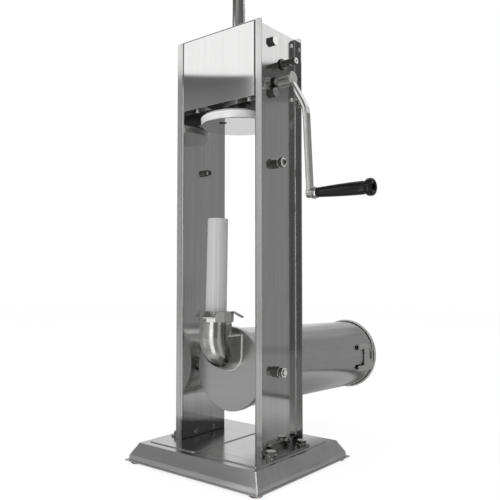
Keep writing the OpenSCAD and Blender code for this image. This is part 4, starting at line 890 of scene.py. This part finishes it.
# Steel sleeve between the ferrule and the grip
def makeSleeve(place):
    radius, long, bevel = sleeve["radius"], sleeve["long"], sleeve["bevel"]
    profile = [(grip["bore"], 0), (radius - bevel, 0), (radius, bevel), (radius, long - bevel),
               (radius - sleeve["lip"], long), (grip["bore"], long), (grip["bore"], 0)]
    mesh = bmesh.new()
    addLathe(mesh, profile, place)
    mergeTwins(mesh)
    smoothen(newPiece("grip_sleeve", mesh, "armSteel", "grip"), 40)


# Turned black grip: long swell, neck groove and a rounded knob. The recess in its end is open in the
# middle, in front of the end of the bore
def makeGrip(place, length):
    slim, bevel, knob, knobRound = grip["slim"], grip["bevel"], grip["knob"], grip["knobRound"]
    neckAt = length - grip["knobLong"]
    swellLong = neckAt - grip["knobLong"] - bevel
    profile = [(grip["bore"], 0), (slim - bevel, 0)]
    for k in range(grip["swellSteps"] + 1):
        part = k / grip["swellSteps"]
        swell = slim + (grip["swell"] - slim) * (1 - (1 - part) ** grip["swellPower"])
        profile.append((swell, bevel + swellLong * part))
    profile += [(radius * mm, neckAt + past * mm) for past, radius in grip["neckLine"]]
    for turn in (math.radians(degrees) for degrees in range(0, 91, 10)):
        profile.append((knob - knobRound * (1 - math.cos(turn)), length - knobRound * (1 - math.sin(turn))))
    profile += [(radius * mm, length - deep * mm) for radius, deep in grip["recess"]]
    inner = length - grip["cap"]
    mesh = bmesh.new()
    addLathe(mesh, profile, place, grip["steps"])
    addLathe(mesh, [(0, inner), (grip["bore"], inner), (grip["bore"], 0)], place, grip["steps"])
    mergeTwins(mesh)
    piece = newPiece("turned_grip", mesh, "gripPlastic", "grip")
    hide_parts("handle_grip")
    smoothen(piece, 50)


def makeHandle():
    low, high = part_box("handle_grip")
    middle = (low + high) / 2
    place = Matrix.Translation((low.x, middle.y, middle.z)) @ facing((1, 0, 0))
    makeSleeve(place)
    makeGrip(Matrix.Translation((sleeve["long"], 0, 0)) @ place, high.x - low.x - sleeve["long"])


makeHandle()
print("grip turned")


# ribTurns in degrees from the front, repeated on the far side
nozzle = {"low": 104 * mm, "length": 185 * mm, "wide": 20.25 * mm, "tip": 19.5 * mm, "rib": 0.45 * mm,
          "ribTurns": (21.4, 48.6), "ribStart": 6 * mm, "ribShort": 6.6 * mm, "ribSteps": 23}


# Fine mould ribs that run up the nozzle
def makeNozzleRibs():
    mesh = bmesh.new()
    toSpout = spout.inverted().to_3x3()
    low, long = nozzle["low"] + nozzle["ribStart"], nozzle["length"] - nozzle["ribShort"]
    for half in (0, 180):
        for rib in nozzle["ribTurns"]:
            turn = math.radians(rib + half)
            out = toSpout @ Vector((math.sin(turn), -math.cos(turn), 0))
            out = Vector((out.x, out.y, 0)).normalized()
            points = []
            for k in range(nozzle["ribSteps"] + 1):
                part = k / nozzle["ribSteps"]
                radius = nozzle["wide"] + (nozzle["tip"] - nozzle["wide"]) * part
                points.append(spout @ (out * radius + Vector((0, 0, low + long * part))))
            addTube(mesh, points, nozzle["rib"], sides=6)
    smoothen(newPiece("nozzle_ribs", mesh, "ribPlastic", "cylinder"))


makeNozzleRibs()
print("nozzle ribbed")


# Lengths are in metres. near, closeIn and closeOut are distances from the middle between which a tone on the
# floor comes in or fades, and white is how far the camera sees the floor as plain white. The floor that
# mirrors see darkens between closeIn and closeOut as painted shade round the machine
studio = {"radius": 1.8, "height": 2.3, "steps": 96, "level": 0.95, "soft": 0.01, "mirrored": 0.97,
          "tableEdge": 0.56, "edgeWide": (0.04, 0.06), "tableTone": 0.44, "edgeTone": 0.06, "farTone": 0.25,
          "closeShadeTone": 0.26, "closeIn": (0.24, 0.3), "closeOut": (0.6, 0.32), "near": (0.2, 0.3),
          "paper": (0.97, 0.97, 0.97, 1), "white": 0.88, "floorHalf": 6}


# White to the camera and to mirrors, and a little less as a light
def makeWorld():
    world = bpy.data.worlds.new("studio")
    bpy.context.scene.world = world
    world.use_nodes = True
    tree = world.node_tree
    tree.nodes.clear()
    light = addNode(tree, "ShaderNodeLightPath")
    seen = maths(tree, "MAXIMUM", light.outputs["Is Camera Ray"], light.outputs["Is Glossy Ray"])
    seen = maths(tree, "MAXIMUM", seen, light.outputs["Is Transmission Ray"])
    level, white = addNode(tree, "ShaderNodeBackground"), addNode(tree, "ShaderNodeBackground")
    for shade, strength in ((level, studio["level"]), (white, 1.0)):
        shade.inputs["Color"].default_value = (1, 1, 1, 1)
        shade.inputs["Strength"].default_value = strength
    mix = mixShaders(tree, seen, level, white)
    plug(tree, mix.outputs[0], addNode(tree, "ShaderNodeOutputWorld").inputs["Surface"])


# Height and plain tone of the walls
wallTones = [(0.0, 0.24), (0.04, 0.24), (0.9, 0.25), (1.2, 0.2), (1.3, 0.14), (1.4, 0.22), (2.3, 0.2)]
# Lights, openings and dark flags painted over the plain tones: middle, half width and softness in
# degrees from the front, low and high edge in metres, tone at each edge
windows = [
    (74, 50, 2, 0.0, 2.3, 0.13, 0.13),
    (64.5, 9.5, 2, 0.0, 1.6, 0.5, 0.5),
    (115, 9, 2, 0.0, 0.9, 0.05, 0.05),
    (-43, 16, 1.5, -0.1, 0.12, 0.42, 0.42),
    (-43, 16, 1.5, 0.12, 0.74, 0.31, 0.28),
    (-43, 16, 1.5, 1.1, 1.22, 0.25, 0.19),
    (-43, 16, 1.5, 1.22, 1.335, 0.19, 0.11),
    (-43, 16, 1.5, 1.335, 1.64, 1.05, 1.05),
    (-31, 3.9, 0.2, 0.0, 1.4, 0.24, 0.95),
    (157, 24, 4, 0.04, 1.2, 0.29, 0.27),
    (178, 10, 6, 1.0, 2.3, 0.36, 0.33),
    (-164, 8, 5, 0.6, 2.3, 0.5, 0.4),
    (124, 10, 2, 0.0, 0.35, 0.11, 0.11),
    (141, 7, 2, 1.29, 1.39, 0.11, 0.11),
    (141, 7, 2, 1.39, 1.98, 1.05, 1.05),
    (-139, 19, 3, 0.05, 1.3, 0.74, 0.74),
    (-139, 19, 3, 1.3, 2.3, 0.7, 0.4),
    (10, 12, 4, 0.0, 1.3, 1.35, 1.35),
    (-13, 9, 3, 0.0, 1.3, 0.42, 0.42),
    (-116, 14, 3, 0.0, 0.4, 0.4, 0.4),
    (-122, 22, 3, 1.66, 2.3, 0.9, 0.9),
    (-48, 27, 3, 1.64, 2.3, 0.08, 0.08),
    (9, 29, 4, 1.64, 2.3, 0.34, 0.34),
    (155, 25, 3, 1.72, 2.3, 0.9, 0.9),
]
# Bands of painted light and shade on the table in front, seen in mirrors: middle, half width and softness in
# degrees, tone
lightAndShadeBands = [(-78, 20, 4, 0.25), (-22, 6, 3, 0.35), (10, 12, 4, 1.2), (36, 13, 3, 0.2), (64, 10, 3, 0.45),
           (101, 24, 4, 0.16)]


# Degrees round from the front, to the right
def findBearing(tree, place):
    ahead = maths(tree, "MULTIPLY", place["Y"], -1.0)
    return maths(tree, "DEGREES", maths(tree, "ARCTAN2", place["X"], ahead))


# Is 1 within half degrees of a middle bearing, with soft sides
def sector(tree, bearing, middle, half, soft):
    off = maths(tree, "SUBTRACT", bearing, float(middle))
    off = maths(tree, "ABSOLUTE", maths(tree, "WRAP", off, 180.0, -180.0))
    return remap(tree, off, half + soft, half - soft, smooth=True)


def makeWallMaterial():
    material, tree, surface = blankMaterial("studioWalls")
    place, soft = splitCoordinate(tree, "Object"), studio["soft"]
    ramp = addNode(tree, "ShaderNodeValToRGB")
    plug(tree, maths(tree, "DIVIDE", place["Z"], studio["height"]), ramp.inputs[0])
    stops = ramp.color_ramp.elements
    while len(stops) < len(wallTones):
        stops.new(0.5)
    for stop, (height, tone) in zip(stops, wallTones):
        stop.position = height / studio["height"]
        stop.color = (tone, tone, tone, 1)
    bearing = findBearing(tree, place)
    tone = ramp.outputs[0]
    for middle, half, side, low, high, toneLow, toneHigh in windows:
        above = remap(tree, place["Z"], low - soft, low + soft, smooth=True)
        below = remap(tree, place["Z"], high + soft, high - soft, smooth=True)
        mask = maths(tree, "MULTIPLY", sector(tree, bearing, middle, half, side), above)
        mask = maths(tree, "MULTIPLY", mask, below)
        tone = blendColours(tree, mask, tone, remap(tree, place["Z"], low, high, toneLow, toneHigh))
    glow = addNode(tree, "ShaderNodeEmission")
    plug(tree, tone, glow.inputs["Color"])
    plug(tree, glow.outputs[0], surface)
    return material


# Round wall with a flat top, seen only in mirrors
def makeTent():
    mesh = bmesh.new()
    steps = studio["steps"]
    low, high = [
        [mesh.verts.new(polar(studio["radius"], 2 * math.pi * k / steps, height)) for k in range(steps)]
        for height in (0.0, studio["height"])
    ]
    for k in range(steps):
        n = (k + 1) % steps
        mesh.faces.new((low[k], low[n], high[n], high[k]))
    mesh.faces.new(high)
    walls = newObject("studio_walls", mesh, makeWallMaterial())
    for ray in ("camera", "diffuse", "transmission", "volume_scatter", "shadow"):
        setattr(walls, "visible_" + ray, False)


# Tone of the floor in mirrors: a table with bands of painted light and shade, painted shade round the
# machine, its dark edge, and a paler floor behind it
def floorTone(tree):
    place, edge, soft = splitCoordinate(tree, "Object"), studio["tableEdge"], studio["soft"]
    tone = remap(tree, place["Y"], edge - soft, edge + soft, studio["tableTone"], studio["edgeTone"],
                 smooth=True)
    start, end = (edge + wide for wide in studio["edgeWide"])
    rise = studio["farTone"] - studio["edgeTone"]
    tone = maths(tree, "ADD", tone, remap(tree, place["Y"], start, end, 0.0, rise, smooth=True))
    squares = [maths(tree, "POWER", place[axis], 2.0) for axis in "XY"]
    reach = maths(tree, "SQRT", maths(tree, "ADD", *squares))
    # Painted shade round the machine, seen in mirrors
    shaded = maths(tree, "SUBTRACT", tone, studio["closeShadeTone"])
    for ring in ("closeOut", "closeIn"):
        shaded = maths(tree, "MULTIPLY", shaded, remap(tree, reach, *studio[ring], smooth=True))
    tone = maths(tree, "SUBTRACT", tone, shaded)
    near = remap(tree, reach, *studio["near"], smooth=True)
    bearing = findBearing(tree, place)
    # Bands of painted light and shade on the table, seen in mirrors
    for middle, half, side, bright in lightAndShadeBands:
        mask = maths(tree, "MULTIPLY", sector(tree, bearing, middle, half, side), near)
        change = maths(tree, "MULTIPLY", maths(tree, "SUBTRACT", bright, tone), mask)
        tone = maths(tree, "ADD", tone, change)
    return tone


# Paper that is nearly white to the camera and toned to mirrors
def makeFloor():
    material, tree, surface = blankMaterial("paleFloor")
    ray = addNode(tree, "ShaderNodeLightPath")
    paper = addNode(tree, "ShaderNodeBsdfDiffuse")
    paper.inputs["Color"].default_value = studio["paper"]
    white, toned = addNode(tree, "ShaderNodeEmission"), addNode(tree, "ShaderNodeEmission")
    white.inputs["Color"].default_value = (1, 1, 1, 1)
    plug(tree, floorTone(tree), toned.inputs["Strength"])
    seen = maths(tree, "MAXIMUM", ray.outputs["Is Camera Ray"], ray.outputs["Is Transmission Ray"])
    shown = mixShaders(tree, maths(tree, "MULTIPLY", seen, studio["white"]), paper, white)
    mirrored = maths(tree, "MULTIPLY", ray.outputs["Is Glossy Ray"], studio["mirrored"])
    plug(tree, mixShaders(tree, mirrored, shown, toned).outputs[0], surface)
    mesh = bmesh.new()
    bmesh.ops.create_grid(mesh, x_segments=8, y_segments=8, size=studio["floorHalf"])
    floor = newObject("floor", mesh, material)


# Soft lamps: place, size, watts, aim
lamps = {
    "keyLamp": ((1.6, -1.6, 2.2), 1.4, 20, (0, 0, 0.4)),
    "fillLamp": ((-1.9, -1.2, 1.6), 1.4, 12, (0, 0, 0.4)),
    "backLamp": ((0.6, 2.2, 2.0), 1.6, 14, (0, 0, 0.5)),
}


def makeLamps():
    for name, (place, size, watts, aim) in lamps.items():
        data = bpy.data.lights.new(name, "AREA")
        data.size = size
        data.energy = watts
        lamp = bpy.data.objects.new(name, data)
        lamp.location = place
        lamp.rotation_euler = (Vector(aim) - Vector(place)).to_track_quat("-Z", "Y").to_euler()
        bpy.context.collection.objects.link(lamp)
        lamp.visible_glossy = False
        lamp.visible_camera = False


makeWorld()
makeTent()
makeFloor()
makeLamps()
bpy.context.scene.view_settings.view_transform = "Standard"
print("studio lit")
